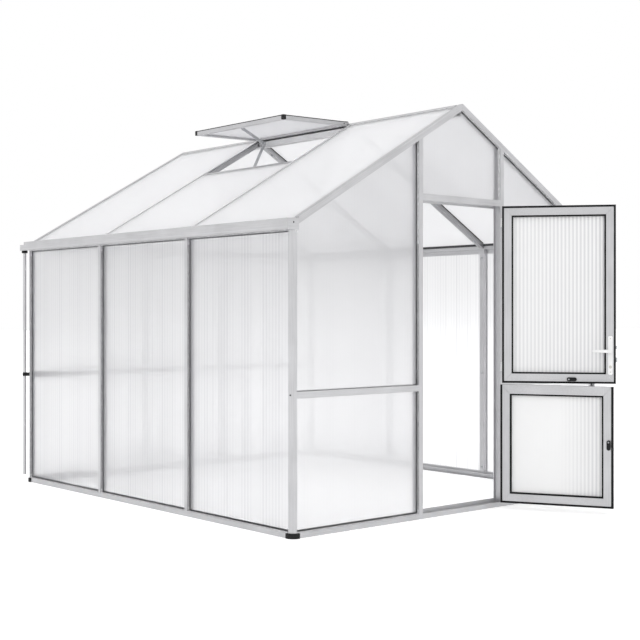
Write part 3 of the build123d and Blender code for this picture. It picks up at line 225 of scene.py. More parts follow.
def add_screw(shape, place, out, size=FRAME_SCREW):
    """A pan head that stands on a place and faces out, with a socket sunk in it."""
    radius, height = size
    out = out.normalized()
    stand = Matrix.Translation(place + out * height / 2) @ out.to_track_quat("Z", "Y").to_matrix().to_4x4()
    made = bmesh.ops.create_cone(shape, cap_ends=True, segments=12, radius1=radius,
                                 radius2=CROWN_SHARE * radius, depth=height, matrix=stand)
    faces = {face for vert in made["verts"] for face in vert.link_faces}
    crown = max(faces, key=lambda face: face.calc_center_median().dot(out))
    bmesh.ops.inset_region(shape, faces=[crown], thickness=RIM_SHARE * radius)
    socket = bmesh.ops.extrude_discrete_faces(shape, faces=[crown])["faces"][0]
    bmesh.ops.translate(shape, verts=socket.verts, vec=-SOCKET_SHARE * height * out)


# Zinc-plated steel: bright grey with a faint cold tint and a fine mottle, as the plate's crystals leave.
# The frame's nearly black steel has the same mottle, and is duller.
def plated_metal(name, dark, light, rough):
    """A metal skin whose lines run nowhere, so that they make a mottle."""
    material, shader, place = start_material(name, Metallic=1)
    return metal_skin(material, shader, place, die_lines(material, place, (1, 1, 1)), dark, light, rough)


zinc_plate = plated_metal("zinc_plated_steel", "#a9abae", "#c9cbcd", rough=(0.28, 0.42))
near_black_steel = plated_metal("nearly_black_steel", "#2c2c2e", "#404042", rough=(0.4, 0.55))
post_screws = bmesh.new()
for side in (-1, 1):
    for end in (-1, 1):
        out = Vector((side * cos(POST_SCREW_TURN), end * sin(POST_SCREW_TURN), 0))
        middle = Vector((side * (HALF_WIDTH - POST_ROUND), end * (HALF_LENGTH - POST_ROUND), MID_RAIL))
        add_screw(post_screws, middle + out * POST_ROUND, out)
add_piece("post_screws", post_screws, near_black_steel, "house", "zinc_steel")

# Nuts and washers of the frame: they stand indoors on the flanges, where each bar is bolted to the next.
# They are hexagon nuts of zinc-plated steel, turned tight on square-shanked bolts.
STUD_PLACES, INDOOR_FACE = (-430 * MM, 430 * MM), 1123 * MM
GABLE_STUD, GABLE_FACE = 314 * MM, 1248 * MM
STUD_NUTS = (65 * MM, MID_RAIL, 1400 * MM)
REAR_NUTS = (65 * MM, 625 * MM, 708 * MM, 1420 * MM, 1500 * MM)
FRONT_NUTS = (65 * MM, 1700 * MM)
NUT_RADIUS, NUT_HEIGHT, NUT_TAPER = 5.8 * MM, 5 * MM, 0.97
WASHER_RADIUS, WASHER_HEIGHT = 7 * MM, 1.2 * MM


def add_nut(shape, place, out):
    """A washer, a nut and the end of its bolt on a flange that faces out."""
    turn = out.to_track_quat("Z", "Y").to_matrix().to_4x4()
    base = 0
    for sides, radius, height in ((16, WASHER_RADIUS, WASHER_HEIGHT), (6, NUT_RADIUS, NUT_HEIGHT),
                                  (12, NUT_RADIUS / 2, WASHER_HEIGHT)):
        middle = Matrix.Translation(place + out * (base + height / 2)) @ turn
        bmesh.ops.create_cone(shape, cap_ends=True, segments=sides, radius1=radius,
                              radius2=radius * NUT_TAPER, depth=height, matrix=middle)
        base += height


wall_nuts = bmesh.new()
for side in (-1, 1):
    for run in STUD_PLACES:
        for height in STUD_NUTS:
            add_nut(wall_nuts, Vector((side * INDOOR_FACE, run, height)), Vector((-side, 0, 0)))
    for height in REAR_NUTS:
        add_nut(wall_nuts, Vector((side * GABLE_STUD, GABLE_FACE, height)), Vector((0, -1, 0)))
    for height in FRONT_NUTS:
        add_nut(wall_nuts, Vector((side * GABLE_STUD, -GABLE_FACE, height)), Vector((0, 1, 0)))
add_piece("wall_nuts", wall_nuts, zinc_plate, "house", "zinc_steel")

# Eaves: box beams with a gutter floor and a fascia along them, closed by flat end caps.
# They are long extrusions like the bars; low on the fascia a shallow drip line is drawn as a painted
# highlight.
DRIP_HEIGHT, DRIP_HALF, DRIP_PAINTED_HIGHLIGHT = 1447 * MM, 1.5 * MM, 0.25
END_CAP_ROUND, END_CAP_SCREW_PLACE, END_CAP_SCREW_HEIGHT = 0.6 * MM, 1156 * MM, 1470 * MM

# Fascia: the bars' mill finish, with a painted highlight for the drip line: a thin paler stripe, also a
# slight relief.
fascia_aluminium, fascia_shader, fascia_place = start_material("mill_aluminium_fascia", Metallic=1)
fascia_lines = die_lines(fascia_aluminium, fascia_place, (1, ALONG, 1))
fascia_axes = add_node(fascia_aluminium, "ShaderNodeSeparateXYZ", {"Vector": fascia_place})
drip = add_node(fascia_aluminium, "ShaderNodeMath", {0: fascia_axes.outputs["Z"]},
                {1: DRIP_HEIGHT, 2: DRIP_HALF}, operation="COMPARE")
drip_highlight = add_node(fascia_aluminium, "ShaderNodeMath", {0: drip.outputs["Value"], 2: fascia_lines},
                   {1: DRIP_PAINTED_HIGHLIGHT}, operation="MULTIPLY_ADD")
metal_skin(fascia_aluminium, fascia_shader, fascia_place, drip_highlight.outputs["Value"])
dress(fascia_aluminium, "left_gutter", "right_gutter")
round_off("eave_end_caps", "gutter_end_caps", END_CAP_ROUND, cross_aluminium, "house", "aluminium")
cap_screws = bmesh.new()
for side in (-1, 1):
    spot = Vector((side * END_CAP_SCREW_PLACE, -HALF_LENGTH, END_CAP_SCREW_HEIGHT))
    add_screw(cap_screws, spot, Vector((0, -1, 0)))
add_piece("end_cap_screws", cap_screws, near_black_steel, "house", "zinc_steel")

# Rainwater pipes: thin tubes at the rear corners, hung from black outlets under the gutters.
# A black moulded clip holds each pipe to its post.
COLLAR_ROUND, CLIP_ROUND = 1.5 * MM, 1.0 * MM
draw_bars(upright_aluminium, "downpipes")
round_off("outlet_collars", "gutter_outlets", COLLAR_ROUND, black_polypropylene, "house", "black_plastic")
round_off("pipe_clips", "downpipe_clips", CLIP_ROUND, black_polypropylene, "house", "black_plastic")

# Roof bars: gable rafters, inner bars, ridge and the cross bar under the vent, of the same extrusions.
# They are bolted to the ridge and the eaves from below, and the sheets lie between their lips.
ROOF_PITCH, RIDGE_HEIGHT, ROOF_BAR_DEPTH = radians(30), 2147.6 * MM, 35 * MM
ROOF_NUT_RUNS = (95 * MM, 1050 * MM)
# Square to the slopes, the roof's face is this far from the ground below the ridge.
ROOF_RISE = RIDGE_HEIGHT * cos(ROOF_PITCH)
# Roof bars: a top this deep is painted lighter and the stem below it darker, blended over this width, shifted
# by this much.
BAR_CAP_DEPTH, BAR_CAP_BLEND, BAR_TOP_PAINTED_LIGHT = 9 * MM, 1 * MM, 0.4


# The same mill finish; on a roof bar light and shade are painted in: a painted highlight brightens the top
# above the sheets, and painted shade greys the stem below them.
def sloping_aluminium(name, slope, finish=(), painted_top_light=False):
    """Aluminium with die lines down both slopes: the pattern is folded at the ridge and then turned."""
    material, shader, place = start_material(name, Metallic=1)
    split = add_node(material, "ShaderNodeSeparateXYZ", {"Vector": place})
    run = add_node(material, "ShaderNodeMath", {0: split.outputs["X"]}, operation="ABSOLUTE")
    folded = add_node(material, "ShaderNodeCombineXYZ", {
        "X": run.outputs["Value"], "Y": split.outputs["Y"], "Z": split.outputs["Z"]})
    turned = add_node(material, "ShaderNodeMapping", {"Vector": folded.outputs["Vector"]},
                      {"Rotation": (0, -slope, 0)})
    lines = die_lines(material, turned.outputs["Vector"], (ALONG, 1, 1))
    # Painted light and shade: above the stem's top the lines are lifted, below it they are darkened.
    if painted_top_light:
        axes = add_node(material, "ShaderNodeSeparateXYZ", {"Vector": turned.outputs["Vector"]})
        stem_top = ROOF_RISE - BAR_CAP_DEPTH
        painted_light = add_node(material, "ShaderNodeMapRange", {"Value": axes.outputs["Z"]}, {
            "From Min": stem_top, "From Max": stem_top + BAR_CAP_BLEND,
            "To Min": -BAR_TOP_PAINTED_LIGHT, "To Max": BAR_TOP_PAINTED_LIGHT})
        painted_lines = add_node(material, "ShaderNodeMath", {0: lines, 1: painted_light.outputs["Result"]}, operation="ADD")
        lines = painted_lines.outputs["Value"]
    return metal_skin(material, shader, place, lines, *finish)


def roof_point(side, run, along, depth):
    """A point under a slope: run from the ridge on plan, depth square to the roof."""
    return Vector((side * run, along, RIDGE_HEIGHT - run * tan(ROOF_PITCH) - depth / cos(ROOF_PITCH)))


draw_bars(sloping_aluminium("mill_aluminium_rafters", ROOF_PITCH), "gable_rafters")
# Inner roof bars: a wide range of colours, for the painted highlight on their tops and painted shade on their
# stems.
dress(sloping_aluminium("mill_aluminium_roof_bars", ROOF_PITCH, ("#a6a6a8", "#f4f4f5"), painted_top_light=True),
      "roof_bars")
draw_bars(long_aluminium, "ridge_bar", "vent_cross_bar")
roof_nuts = bmesh.new()
for side in (-1, 1):
    into = Vector((-side * sin(ROOF_PITCH), 0, -cos(ROOF_PITCH)))
    for along in STUD_PLACES:
        for run in ROOF_NUT_RUNS:
            add_nut(roof_nuts, roof_point(side, run, along, ROOF_BAR_DEPTH), into)
add_piece("roof_nuts", roof_nuts, zinc_plate, "house", "zinc_steel")

# Sheets: twin-wall polycarbonate, two thin skins on fine ribs, slid into the grooves of the bars.
# Each sheet is extruded, milky and half clear, with its ribs upright or down the slope.
RIB_PITCH, WALL_RIB_PITCH, RIB_RELIEF = 20 * MM, 24 * MM, 0.12 * MM
RIB_PATCH, RIB_MILK, ROUGH_DRIFT = 4 * RIB_PITCH, 0.06, 0.05
# Blender's wave runs through 20 radians in each unit.
WAVE_RATE = 20
# Each finish is how clear the sheet is, how milky and how rough.
WALL_FINISH, ROOF_FINISH, VENT_FINISH = (0.97, 0.7, 0.38), (0, 0.55, 0.6), (0, 0.6, 0.6)


# Twin-wall polycarbonate: a milky, blurred view through, a soft sheen, and ribs that show as fine stripes
# in places. Real ribs are about 6 mm apart, and these are drawn wider. The index is that of polycarbonate
# thinned by the air between the skins, which lets light pass nearly straight. Sheets that the sky lights
# from behind, on the roof, also glow through.
def twin_wall_sheet(name, across, colours, finish, shown, pitch=RIB_PITCH, plain=0.7, leaf=False, through=0):
    """A sheet with its ribs spaced along the direction across. They come out over the range shown, which
    is of a drifting noise, or on a door leaf of the place itself, and elsewhere the sheet is plain. Through
    is the share of light that glows to the far side."""
    clear, milk, rough = finish
    material, shader, place = start_material(name, IOR=1.2, Transmission_Weight=clear)
    run = add_node(material, "ShaderNodeVectorMath", {0: place}, {1: across}, operation="DOT_PRODUCT")
    line = add_node(material, "ShaderNodeCombineXYZ", {"X": run.outputs["Value"]})
    ribs = add_node(material, "ShaderNodeTexWave", {"Vector": line.outputs["Vector"]},
                    {"Scale": 2 * pi / (WAVE_RATE * pitch)}, wave_type="BANDS", bands_direction="X")
    drift = add_node(material, "ShaderNodeTexNoise", {"Vector": line.outputs["Vector"]},
                     {"Scale": 1 / RIB_PATCH, "Detail": 2, "Roughness": 0.6})
    source = run.outputs["Value"] if leaf else drift.outputs["Fac"]
    strength = add_node(material, "ShaderNodeMapRange", {"Value": source},
                        {"From Min": shown[0], "From Max": shown[1]})
    stripes = add_node(material, "ShaderNodeMix",
                       {"Factor": strength.outputs["Result"], "B": ribs.outputs["Fac"]}, {"A": plain})
    shade = stripes.outputs["Result"]
    solid = add_node(material, "ShaderNodeMapRange", {"Value": shade},
                     {"To Min": milk + RIB_MILK, "To Max": milk})
    dull = add_node(material, "ShaderNodeMapRange", {"Value": drift.outputs["Fac"]},
                    {**NOISE_BAND, "To Min": rough, "To Max": rough + ROUGH_DRIFT})
    relief = add_node(material, "ShaderNodeBump", {"Height": ribs.outputs["Fac"]},
                      {"Strength": 1, "Distance": RIB_RELIEF})
    tint = tint_between(material, shade, *colours, 0, 1)
    feed(material, shader, Base_Color=tint, Alpha=solid.outputs["Result"], Roughness=dull.outputs["Result"],
         Normal=relief.outputs["Normal"])
    if through:
        lit = add_node(material, "ShaderNodeBsdfTranslucent", {"Color": tint})
        both = add_node(material, "ShaderNodeMixShader", {1: shader.outputs["BSDF"], 2: lit.outputs["BSDF"]},
                        {"Fac": through})
        feed(material, material.node_tree.nodes["Material Output"], Surface=both.outputs["Shader"])
    return material


side_sheet = twin_wall_sheet("twin_wall_polycarbonate_side", (0, 1, 0), ("#cbcbce", "#f7f7f8"), WALL_FINISH,
                             shown=(0.4, 0.6), pitch=WALL_RIB_PITCH)
gable_sheet = twin_wall_sheet("twin_wall_polycarbonate_gable", (1, 0, 0), ("#dbdbdc", "#f3f3f4"), WALL_FINISH,
                              shown=(0.4, 0.9))
roof_sheet = twin_wall_sheet("twin_wall_polycarbonate_roof", (0, 1, 0), ("#f4f4f5", "#fafafb"), ROOF_FINISH,
                             shown=(0.5, 0.9), through=0.45)
# The vent's sheet is the roof's polycarbonate in a darker tint: painted shade, for its underside seen in
# shade.
shaded_vent_sheet = twin_wall_sheet("twin_wall_polycarbonate_vent_shaded", (0, 1, 0), ("#e4e4e6", "#eeeef0"), VENT_FINISH,
                             shown=(0.5, 0.9), through=0.42)
dress(side_sheet, "left_wall_panels", "right_wall_panels")
dress(gable_sheet, "front_gable_panels", "rear_gable_panels")
dress(roof_sheet, "left_roof_panels", "right_roof_panels")
dress(shaded_vent_sheet, "vent_panel")

# Outdoor glazing rubbers: grey strips pressed between the sheets and the lips of the bars.
# They are extruded, and show as grey lines along the bars, the eaves and the ridge.
UPRIGHT_MIDDLE, UPRIGHT_HALF = 725 * MM, 675 * MM
BLOOM_WIDTH, SKIN_WIDTH, SKIN_RELIEF = 25 * MM, 1.5 * MM, 0.2 * MM


# Extruded rubber: nearly matt, with a pale bloom of dust in patches. The lowest and highest runs are painted
# paler than the upright ones: painted light, which also lifts the shade under the eaves.
def extruded_rubber(name, dark, light, dust_and_painted_light, sheen):
    """A rubber between dark and light on the upright runs, and above and below them between light and a paler
    colour, dust and painted light.
    """
    material, shader, place = start_material(name, IOR=1.52, Specular_IOR_Level=sheen)
    bloom = add_node(material, "ShaderNodeTexNoise", {"Vector": place},
                     {"Scale": 1 / BLOOM_WIDTH, "Detail": 5})
    axes = add_node(material, "ShaderNodeSeparateXYZ", {"Vector": place})
    upright = add_node(material, "ShaderNodeMath", {0: axes.outputs["Z"]},
                       {1: UPRIGHT_MIDDLE, 2: UPRIGHT_HALF}, operation="COMPARE")
    tint = add_node(material, "ShaderNodeMix", {
        "Factor": upright.outputs["Value"], "A": tint_between(material, bloom.outputs["Fac"], light, dust_and_painted_light),
        "B": tint_between(material, bloom.outputs["Fac"], dark, light)}, data_type="RGBA")
    # A Mix node has a result for each kind of value, and the third is the colour.
    mixed_colour = tint.outputs[2]
    dull = add_node(material, "ShaderNodeMapRange", {"Value": bloom.outputs["Fac"]},
                    {**NOISE_BAND, "To Min": 0.6, "To Max": 0.85})
    skin = add_node(material, "ShaderNodeTexNoise", {"Vector": place}, {"Scale": 1 / SKIN_WIDTH, "Detail": 2})
    relief = add_node(material, "ShaderNodeBump", {"Height": skin.outputs["Fac"]},
                      {"Strength": 0.15, "Distance": SKIN_RELIEF})
    feed(material, shader, Base_Color=mixed_colour, Roughness=dull.outputs["Result"],
         Normal=relief.outputs["Normal"])
    return material


# The third colour is the paler dust and painted light of the lowest and highest runs.
grey_rubber = extruded_rubber("grey_glazing_rubber", "#969698", "#b0b0b2", "#d4d4d6", sheen=0.4)
dress(grey_rubber, "side_wall_beads", "gable_beads", "ridge_seals")

# Indoor glazing rubbers: dark strips along both sides of the roof bars and along the eave beams.
# They are extruded, bed the roof sheets on the bars from below, and end where the bars meet.
FLANGE_HALF, STRIP_WIDTH, STRIP_DEPTH = 18 * MM, 5 * MM, 3 * MM
SHEET_UNDER = 9 * MM
STRIP_TOP, STRIP_TOP_BELOW_VENT, STRIP_FOOT = 60 * MM, 470 * MM, 1112 * MM
EAVE_STRIP_PLACE, EAVE_STRIP_HEIGHT = 1120.5 * MM, 1481.5 * MM
EAVE_STRIP_WIDTH, EAVE_STRIP_DEPTH = 4 * MM, 14 * MM
# Along the eaves, the strips fill the stretches between the bars.
BAYS = ((-1262 * MM, -449 * MM), (-411 * MM, 411 * MM), (449 * MM, 1246 * MM))
dark_rubber = extruded_rubber("dark_grey_glazing_rubber", "#38383a", "#4a4a4c", "#444446", sheen=0.3)


def add_strip(shape, start, end, side, width, depth):
    """A straight strip from start to end, width along side and depth square to both."""
    along = end - start
    across = side.normalized()
    square = across.cross(along).normalized()
    axes = Matrix((across * width, along, square * depth)).transposed().to_4x4()
    bmesh.ops.create_cube(shape, size=1, matrix=Matrix.Translation((start + end) / 2) @ axes)


indoor_rubbers = bmesh.new()
for side in (-1, 1):
    for bar in STUD_PLACES:
        for hand in (-1, 1):
            beside = bar + hand * (FLANGE_HALF + STRIP_WIDTH / 2)
            in_vent_bay = side < 0 and hand * bar < 0
            top, foot = (roof_point(side, run, beside, SHEET_UNDER + STRIP_DEPTH / 2)
                         for run in (STRIP_TOP_BELOW_VENT if in_vent_bay else STRIP_TOP, STRIP_FOOT))
            add_strip(indoor_rubbers, top, foot, Vector((0, 1, 0)), STRIP_WIDTH, STRIP_DEPTH)
    for start, end in BAYS:
        begin = Vector((side * EAVE_STRIP_PLACE, start, EAVE_STRIP_HEIGHT))
        add_strip(indoor_rubbers, begin, begin + Vector((0, end - start, 0)), Vector((1, 0, 0)),
                  EAVE_STRIP_WIDTH, EAVE_STRIP_DEPTH)
add_piece("indoor_rubbers", indoor_rubbers, dark_rubber, "house", "dark_rubber")

# Stable door: two leaves of mitred bars hung on one jamb, each with a sheet held by a black bead.
# A black seal is pressed into the edges, and both leaves stand folded back from the doorway.
HINGE = Vector((300 * MM, -1300 * MM, 0))
LEAF_GAP, LEAF_LENGTH, LEAF_BAR, LEAF_ROUND = 5 * MM, 590 * MM, 48 * MM, 0.8 * MM
LEAF_OPEN = {"upper": radians(128.5), "lower": radians(117.5)}
DOOR_FINISH = (0.1, 0.9, 0.6)
# The ribs are strongest by the lock edge, and have faded out this far from it.
RIBS_REACH = {"upper": 1200 * MM, "lower": 280 * MM}
leaf_along = {leaf: Vector((-cos(turn), -sin(turn), 0)) for leaf, turn in LEAF_OPEN.items()}
leaf_indoors = {leaf: Vector((-sin(turn), cos(turn), 0)) for leaf, turn in LEAF_OPEN.items()}
black_rubber = extruded_rubber("black_door_rubber", "#0a0a0b", "#161617", "#1a1a1c", sheen=0.2)


def leaf_aluminium(name, along):
    """Aluminium with upright die lines on the stiles and level ones on the rails of a leaf."""
    material, shader, place = start_material(name, Metallic=1)
    run = add_node(material, "ShaderNodeVectorMath", {0: place}, {1: along}, operation="DOT_PRODUCT")
    from_middle = add_node(material, "ShaderNodeMath", {0: run.outputs["Value"]},
                           {1: HINGE.dot(along) + LEAF_LENGTH / 2}, operation="SUBTRACT")
    off = add_node(material, "ShaderNodeMath", {0: from_middle.outputs["Value"]}, operation="ABSOLUTE")
    stile = add_node(material, "ShaderNodeMath", {0: off.outputs["Value"]}, {1: LEAF_LENGTH / 2 - LEAF_BAR},
                     operation="GREATER_THAN")
    level = add_node(material, "ShaderNodeMapping", {"Vector": place},
                     {"Rotation": (0, 0, along.to_2d().angle_signed(Vector((1, 0))))})
    lines = add_node(material, "ShaderNodeMix", {
        "Factor": stile.outputs["Value"], "A": die_lines(material, level.outputs["Vector"], (ALONG, 1, 1)),
        "B": die_lines(material, place, (1, 1, ALONG))})
    return metal_skin(material, shader, place, lines.outputs["Result"])


for leaf, along in leaf_along.items():
    body = leaf + "_leaf"
    lock_edge = HINGE.dot(along) + LEAF_LENGTH
    shown = (lock_edge - RIBS_REACH[leaf], lock_edge - LEAF_BAR)
    sheet = twin_wall_sheet(f"twin_wall_polycarbonate_{leaf}_door", along, ("#d8d8da", "#ffffff"),
                            DOOR_FINISH, shown, plain=0.98, leaf=True)
    dress(sheet, body + "_panel")
    dress(black_rubber, body + "_seal", body + "_bead")
    round_off(body + "_bars", body + "_frame", LEAF_ROUND,
              leaf_aluminium(f"mill_aluminium_{leaf}_leaf", along), body, "aluminium")

# Hinges and lock of the door: white powder-coated hinges, plates and levers, plated bolts and keep.
# The plates are pressed, the levers cast, and screws hold them through the leaf's bars.
PLATE_ROUND, LEVER_ROUND, HINGE_ROUND = 0.8 * MM, 2 * MM, 0.5 * MM
PLATE_RUN, PLATE_SCREW_HEIGHTS, PLATE_SCREW = 569 * MM, (736 * MM, 913 * MM), (3.2 * MM, 1.4 * MM)
HINGE_HEIGHTS = {"upper": (758 * MM, 1537 * MM), "lower": (123 * MM, 574 * MM)}
FLAG_SCREW, FLAG_SCREW_RUN, FLAG_SCREW_STEPS = (2.6 * MM, 1.2 * MM), 18 * MM, (7 * MM, 19 * MM)
FLAG_FACE, LEAF_FLAG_FACE = 6 * MM, 8 * MM
KEEP_SCREW, KEEP_FACE, KEEP_PLACE = (2.6 * MM, 0.8 * MM), -300 * MM, -1271 * MM
KEEP_SCREW_HEIGHTS = (778 * MM, 885 * MM)
# Powder coat: nearly white, half glossy, with a fine orange peel that the grain of the plastic gives.
# Nickel-plated brass: brighter than the zinc and a little warm.
white_coat = moulded_plastic("white_powder_coat", "#e6e6e6", "#f4f4f4", grain=1.5 * MM, sheen=0.5)
nickel_plate = plated_metal("nickel_plated_brass", "#b9b7b0", "#d6d4ce", rough=(0.22, 0.35))


def leaf_point(leaf, run, depth, height):
    """A point on an open leaf: run along it from the hinge, depth from the hinge's line to indoors."""
    point = HINGE + leaf_along[leaf] * run + leaf_indoors[leaf] * depth
    point.z = height
    return point


for name, node, body, rounding in (
        ("handle_backplates", "handle_plates", "upper_leaf", PLATE_ROUND),
        ("cast_levers", "lever_handles", "lever", LEVER_ROUND),
        ("jamb_hinge_halves", "door_hinge_fixed", "house", HINGE_ROUND),
        ("upper_leaf_hinge_halves", "upper_leaf_hinges", "upper_leaf", HINGE_ROUND),
        ("lower_leaf_hinge_halves", "lower_leaf_hinges", "lower_leaf", HINGE_ROUND)):
    round_off(name, node, rounding, white_coat, body, "white_metal")
for name, node, body in (("spring_latch", "latch_bolt", "latch"), ("locking_bolt", "dead_bolt", "deadbolt"),
                         ("strike_plate", "latch_keep", "house")):
    round_off(name, node, BAR_ROUND, zinc_plate, body, "zinc_steel")
dress(nickel_plate, "lock_plug")

plate_depths = [(vert.co - HINGE).dot(leaf_indoors["upper"])
                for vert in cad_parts["handle_plates"].data.vertices]
plate_screws = bmesh.new()
for face, hand in ((max(plate_depths), 1), (min(plate_depths), -1)):
    for height in PLATE_SCREW_HEIGHTS:
        add_screw(plate_screws, leaf_point("upper", PLATE_RUN, face, height), leaf_indoors["upper"] * hand,
                  PLATE_SCREW)
add_piece("plate_screws", plate_screws, nickel_plate, "upper_leaf", "zinc_steel")

jamb_screws = bmesh.new()
for leaf, heights in HINGE_HEIGHTS.items():
    leaf_screws = bmesh.new()
    for height in heights:
        for step in FLAG_SCREW_STEPS:
            add_screw(jamb_screws, HINGE + Vector((FLAG_SCREW_RUN, FLAG_FACE, height - step)),
                      Vector((0, -1, 0)), FLAG_SCREW)
            spot = leaf_point(leaf, LEAF_GAP + FLAG_SCREW_RUN, LEAF_FLAG_FACE, height + step)
            add_screw(leaf_screws, spot, -leaf_indoors[leaf], FLAG_SCREW)
    add_piece(leaf + "_leaf_hinge_screws", leaf_screws, zinc_plate, leaf + "_leaf", "zinc_steel")
for height in KEEP_SCREW_HEIGHTS:
    add_screw(jamb_screws, Vector((KEEP_FACE, KEEP_PLACE, height)), Vector((1, 0, 0)), KEEP_SCREW)
add_piece("jamb_screws", jamb_screws, zinc_plate, "house", "zinc_steel")

# Turn catches: black moulded wings on a boss, one on each leaf, that swing over the next frame.
# Each turns on a screw through its boss.
CATCH_ROUND, CATCH_FACE, CATCH_SCREW = 1.5 * MM, 60.5 * MM, (4.5 * MM, 2 * MM)
CATCH_PIVOT = {"upper": (353 * MM, 696 * MM), "lower": (575 * MM, 376 * MM)}
for leaf, (run, height) in CATCH_PIVOT.items():
    body = leaf + "_catch"
    round_off(leaf + "_catch_wing", leaf + "_turn_catch", CATCH_ROUND, black_polypropylene, body,
              "black_plastic")
    catch_screw = bmesh.new()
    add_screw(catch_screw, leaf_point(leaf, run, CATCH_FACE, height), leaf_indoors[leaf], CATCH_SCREW)
    add_piece(leaf + "_catch_screw", catch_screw, zinc_plate, body, "zinc_steel")

# Roof vent: a frame with its own sheet, hooked into a continuous hinge under the ridge.
# Black moulded corners join its rails at the free edge, and a dark seal edges its top.
VENT_TILT, VENT_HALF, RAIL_ROUND = radians(1), 420 * MM, 0.8 * MM
EDGE_SEAL, EDGE_SEAL_THICKNESS, CORNER_CAP = 4 * MM, 1.2 * MM, 19 * MM
vent_down = Vector((-cos(VENT_TILT), 0, -sin(VENT_TILT)))
vent_up = Vector((-sin(VENT_TILT), 0, cos(VENT_TILT)))
vent_aluminium = sloping_aluminium("mill_aluminium_vent", VENT_TILT)
round_off("vent_rails", "vent_frame", RAIL_ROUND, vent_aluminium, "vent", "aluminium")
round_off("vent_corner_mouldings", "vent_corner_caps", MOULD_ROUND, black_polypropylene, "vent",
          "black_plastic")
draw_bars(long_aluminium, "vent_hinge_bead")
round_off("vent_hook_strip", "vent_hinge_curl", BAR_ROUND, long_aluminium, "vent", "aluminium")

rail_points = [vert.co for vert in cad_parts["vent_frame"].data.vertices]
vent_top = max(point.dot(vent_up) for point in rail_points)
vent_edge = max(point.dot(vent_down) for point in rail_points)
vent_start = min(point.dot(vent_down) for point in rail_points)


def vent_point(down, along):
    """A point on the vent's top edge seal."""
    return vent_down * down + vent_up * (vent_top - EDGE_SEAL / 2) + Vector((0, along, 0))


vent_seal = bmesh.new()
for hand in (-1, 1):
    run = hand * (VENT_HALF + EDGE_SEAL_THICKNESS / 2)
    add_strip(vent_seal, vent_point(vent_start, run), vent_point(vent_edge - CORNER_CAP, run), vent_up,
              EDGE_SEAL, EDGE_SEAL_THICKNESS)
free_edge = vent_edge + EDGE_SEAL_THICKNESS / 2
add_strip(vent_seal, vent_point(free_edge, CORNER_CAP - VENT_HALF),
          vent_point(free_edge, VENT_HALF - CORNER_CAP), vent_up, EDGE_SEAL, EDGE_SEAL_THICKNESS)
add_piece("vent_edge_seal", vent_seal, black_rubber, "vent", "dark_rubber")

# Folding stay of the vent: two flat arms with brackets, stamped from plated strip.
# Rivets with low round heads join the arms and hold them to their brackets.
STAY_TOP, STAY_FOOT = (-464.16 * MM, 2117.75 * MM), (-387.97 * MM, 1893.6 * MM)
STAY_ELBOW = (-307.9 * MM, 2045.8 * MM)
LUG_FACE, ELBOW_FACE, ELBOW_BACK = 7 * MM, 3.5 * MM, -4 * MM
RIVET_RADIUS, RIVET_HEIGHT = 5 * MM, 2.2 * MM
dress(zinc_plate, "stay_upper_arm")
for name, node, body in (("stay_foot_lug", "stay_fixed_bracket", "house"),
                         ("stay_top_lug", "vent_stay_bracket", "vent"),
                         ("stay_foot_arm", "stay_lower_arm", "stay_foot")):
    round_off(name, node, BAR_ROUND, zinc_plate, body, "zinc_steel")
for name, body, (across, up), face in (("stay_top_rivet", "vent", STAY_TOP, LUG_FACE),
                                       ("stay_foot_rivet", "house", STAY_FOOT, -LUG_FACE),
                                       ("stay_elbow_rivet", "stay_top", STAY_ELBOW, ELBOW_FACE),
                                       ("stay_elbow_peen", "stay_top", STAY_ELBOW, ELBOW_BACK)):
    rivet = bmesh.new()
    bmesh.ops.create_uvsphere(rivet, u_segments=16, v_segments=12, radius=RIVET_RADIUS)
    bmesh.ops.bisect_plane(rivet, geom=rivet.verts[:] + rivet.edges[:] + rivet.faces[:], plane_co=(0, 0, 0),
                           plane_no=(0, face, 0), clear_inner=True)
    bmesh.ops.holes_fill(rivet, edges=[edge for edge in rivet.edges if edge.is_boundary], sides=0)
    bmesh.ops.scale(rivet, vec=(1, RIVET_HEIGHT / RIVET_RADIUS, 1), verts=rivet.verts)
    bmesh.ops.translate(rivet, vec=(across, face, up), verts=rivet.verts)
    bmesh.ops.recalc_face_normals(rivet, faces=rivet.faces)
    add_piece(name, rivet, zinc_plate, body, "zinc_steel")

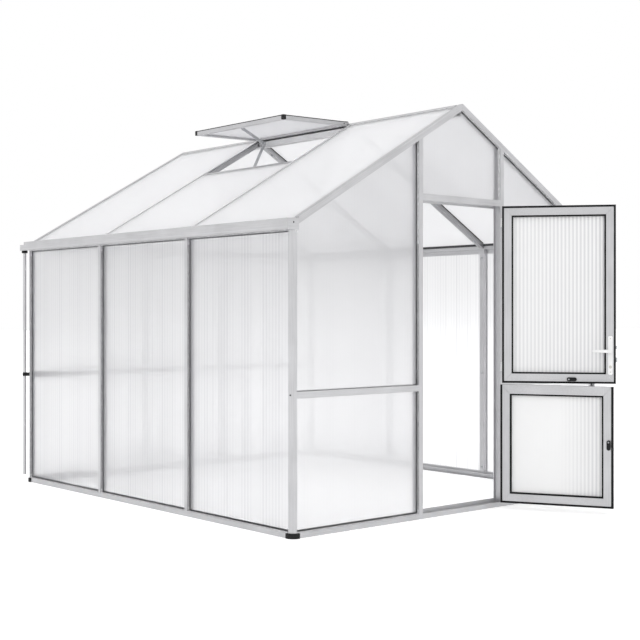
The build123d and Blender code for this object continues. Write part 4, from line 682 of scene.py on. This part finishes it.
# Studio: a wide pale floor and a white surround, a weak low sun from behind and a soft fill from the front.
# The floor keeps the house's shadow, and glows a little to the eye so that it stays white.
FLOOR_HALF, FLOOR_GLOW = 60, 0.38
paper, paper_shader, _ = start_material("studio_paper", Roughness=0.9, Base_Color=linear("#f4f4f4"),
                                        Emission_Color=linear("#ffffff"))
rays = add_node(paper, "ShaderNodeLightPath")
eye = add_node(paper, "ShaderNodeMath", {0: rays.outputs["Is Camera Ray"], 1: rays.outputs["Is Glossy Ray"]},
               operation="MAXIMUM")
seen = add_node(paper, "ShaderNodeMath", {0: eye.outputs["Value"], 1: rays.outputs["Is Transmission Ray"]},
                operation="MAXIMUM")
glow = add_node(paper, "ShaderNodeMath", {0: seen.outputs["Value"]}, {1: FLOOR_GLOW}, operation="MULTIPLY")
feed(paper, paper_shader, Emission_Strength=glow.outputs["Value"])
floor_shape = bmesh.new()
bmesh.ops.create_grid(floor_shape, x_segments=1, y_segments=1, size=FLOOR_HALF)
floor_mesh = bpy.data.meshes.new("studio_floor")
floor_shape.to_mesh(floor_mesh)
floor_shape.free()
floor_mesh.materials.append(paper)
floor = bpy.data.objects.new("studio_floor", floor_mesh)
bpy.context.scene.collection.objects.link(floor)

surround = bpy.data.worlds.new("studio_surround")
surround.use_nodes = True
sky = surround.node_tree.nodes["Background"]
sky.inputs["Color"].default_value = linear("#ffffff")
sky.inputs["Strength"].default_value = 1
bpy.context.scene.world = surround

# Each lamp is a sun with its strength, its spread and the direction that its light comes from.
LAMPS = {"low_sun": (0.9, radians(2), Vector((0.38, 0.77, 0.515))),
         "front_fill": (0.5, radians(40), Vector((-0.75, -0.6, 0.28)))}
for name, (strength, spread, comes_from) in LAMPS.items():
    lamp = bpy.data.lights.new(name, "SUN")
    lamp.energy = strength
    lamp.angle = spread
    holder = bpy.data.objects.new(name, lamp)
    holder.rotation_euler = comes_from.to_track_quat("Z", "Y").to_euler()
    holder.visible_glossy = False
    bpy.context.scene.collection.objects.link(holder)

# The camera was fitted to the straight edges in the photograph. Its place, as the floor, is in metres.
CAMERA_PLACE, CAMERA_TURN = (-4.7552, -5.6184, 1.0495), radians(-40.984)
SENSOR_WIDTH, LENS_LENGTH, FRAME_SHIFT = 36, 68.38, -0.01128
view = bpy.data.cameras.new("photograph_view")
view.sensor_width = SENSOR_WIDTH
view.lens = LENS_LENGTH
view.shift_y = FRAME_SHIFT
camera = bpy.data.objects.new("photograph_view", view)
camera.location = CAMERA_PLACE
camera.rotation_euler = (radians(90), 0, CAMERA_TURN)
bpy.context.scene.collection.objects.link(camera)
bpy.context.scene.camera = camera
bpy.context.scene.view_settings.view_transform = "Standard"
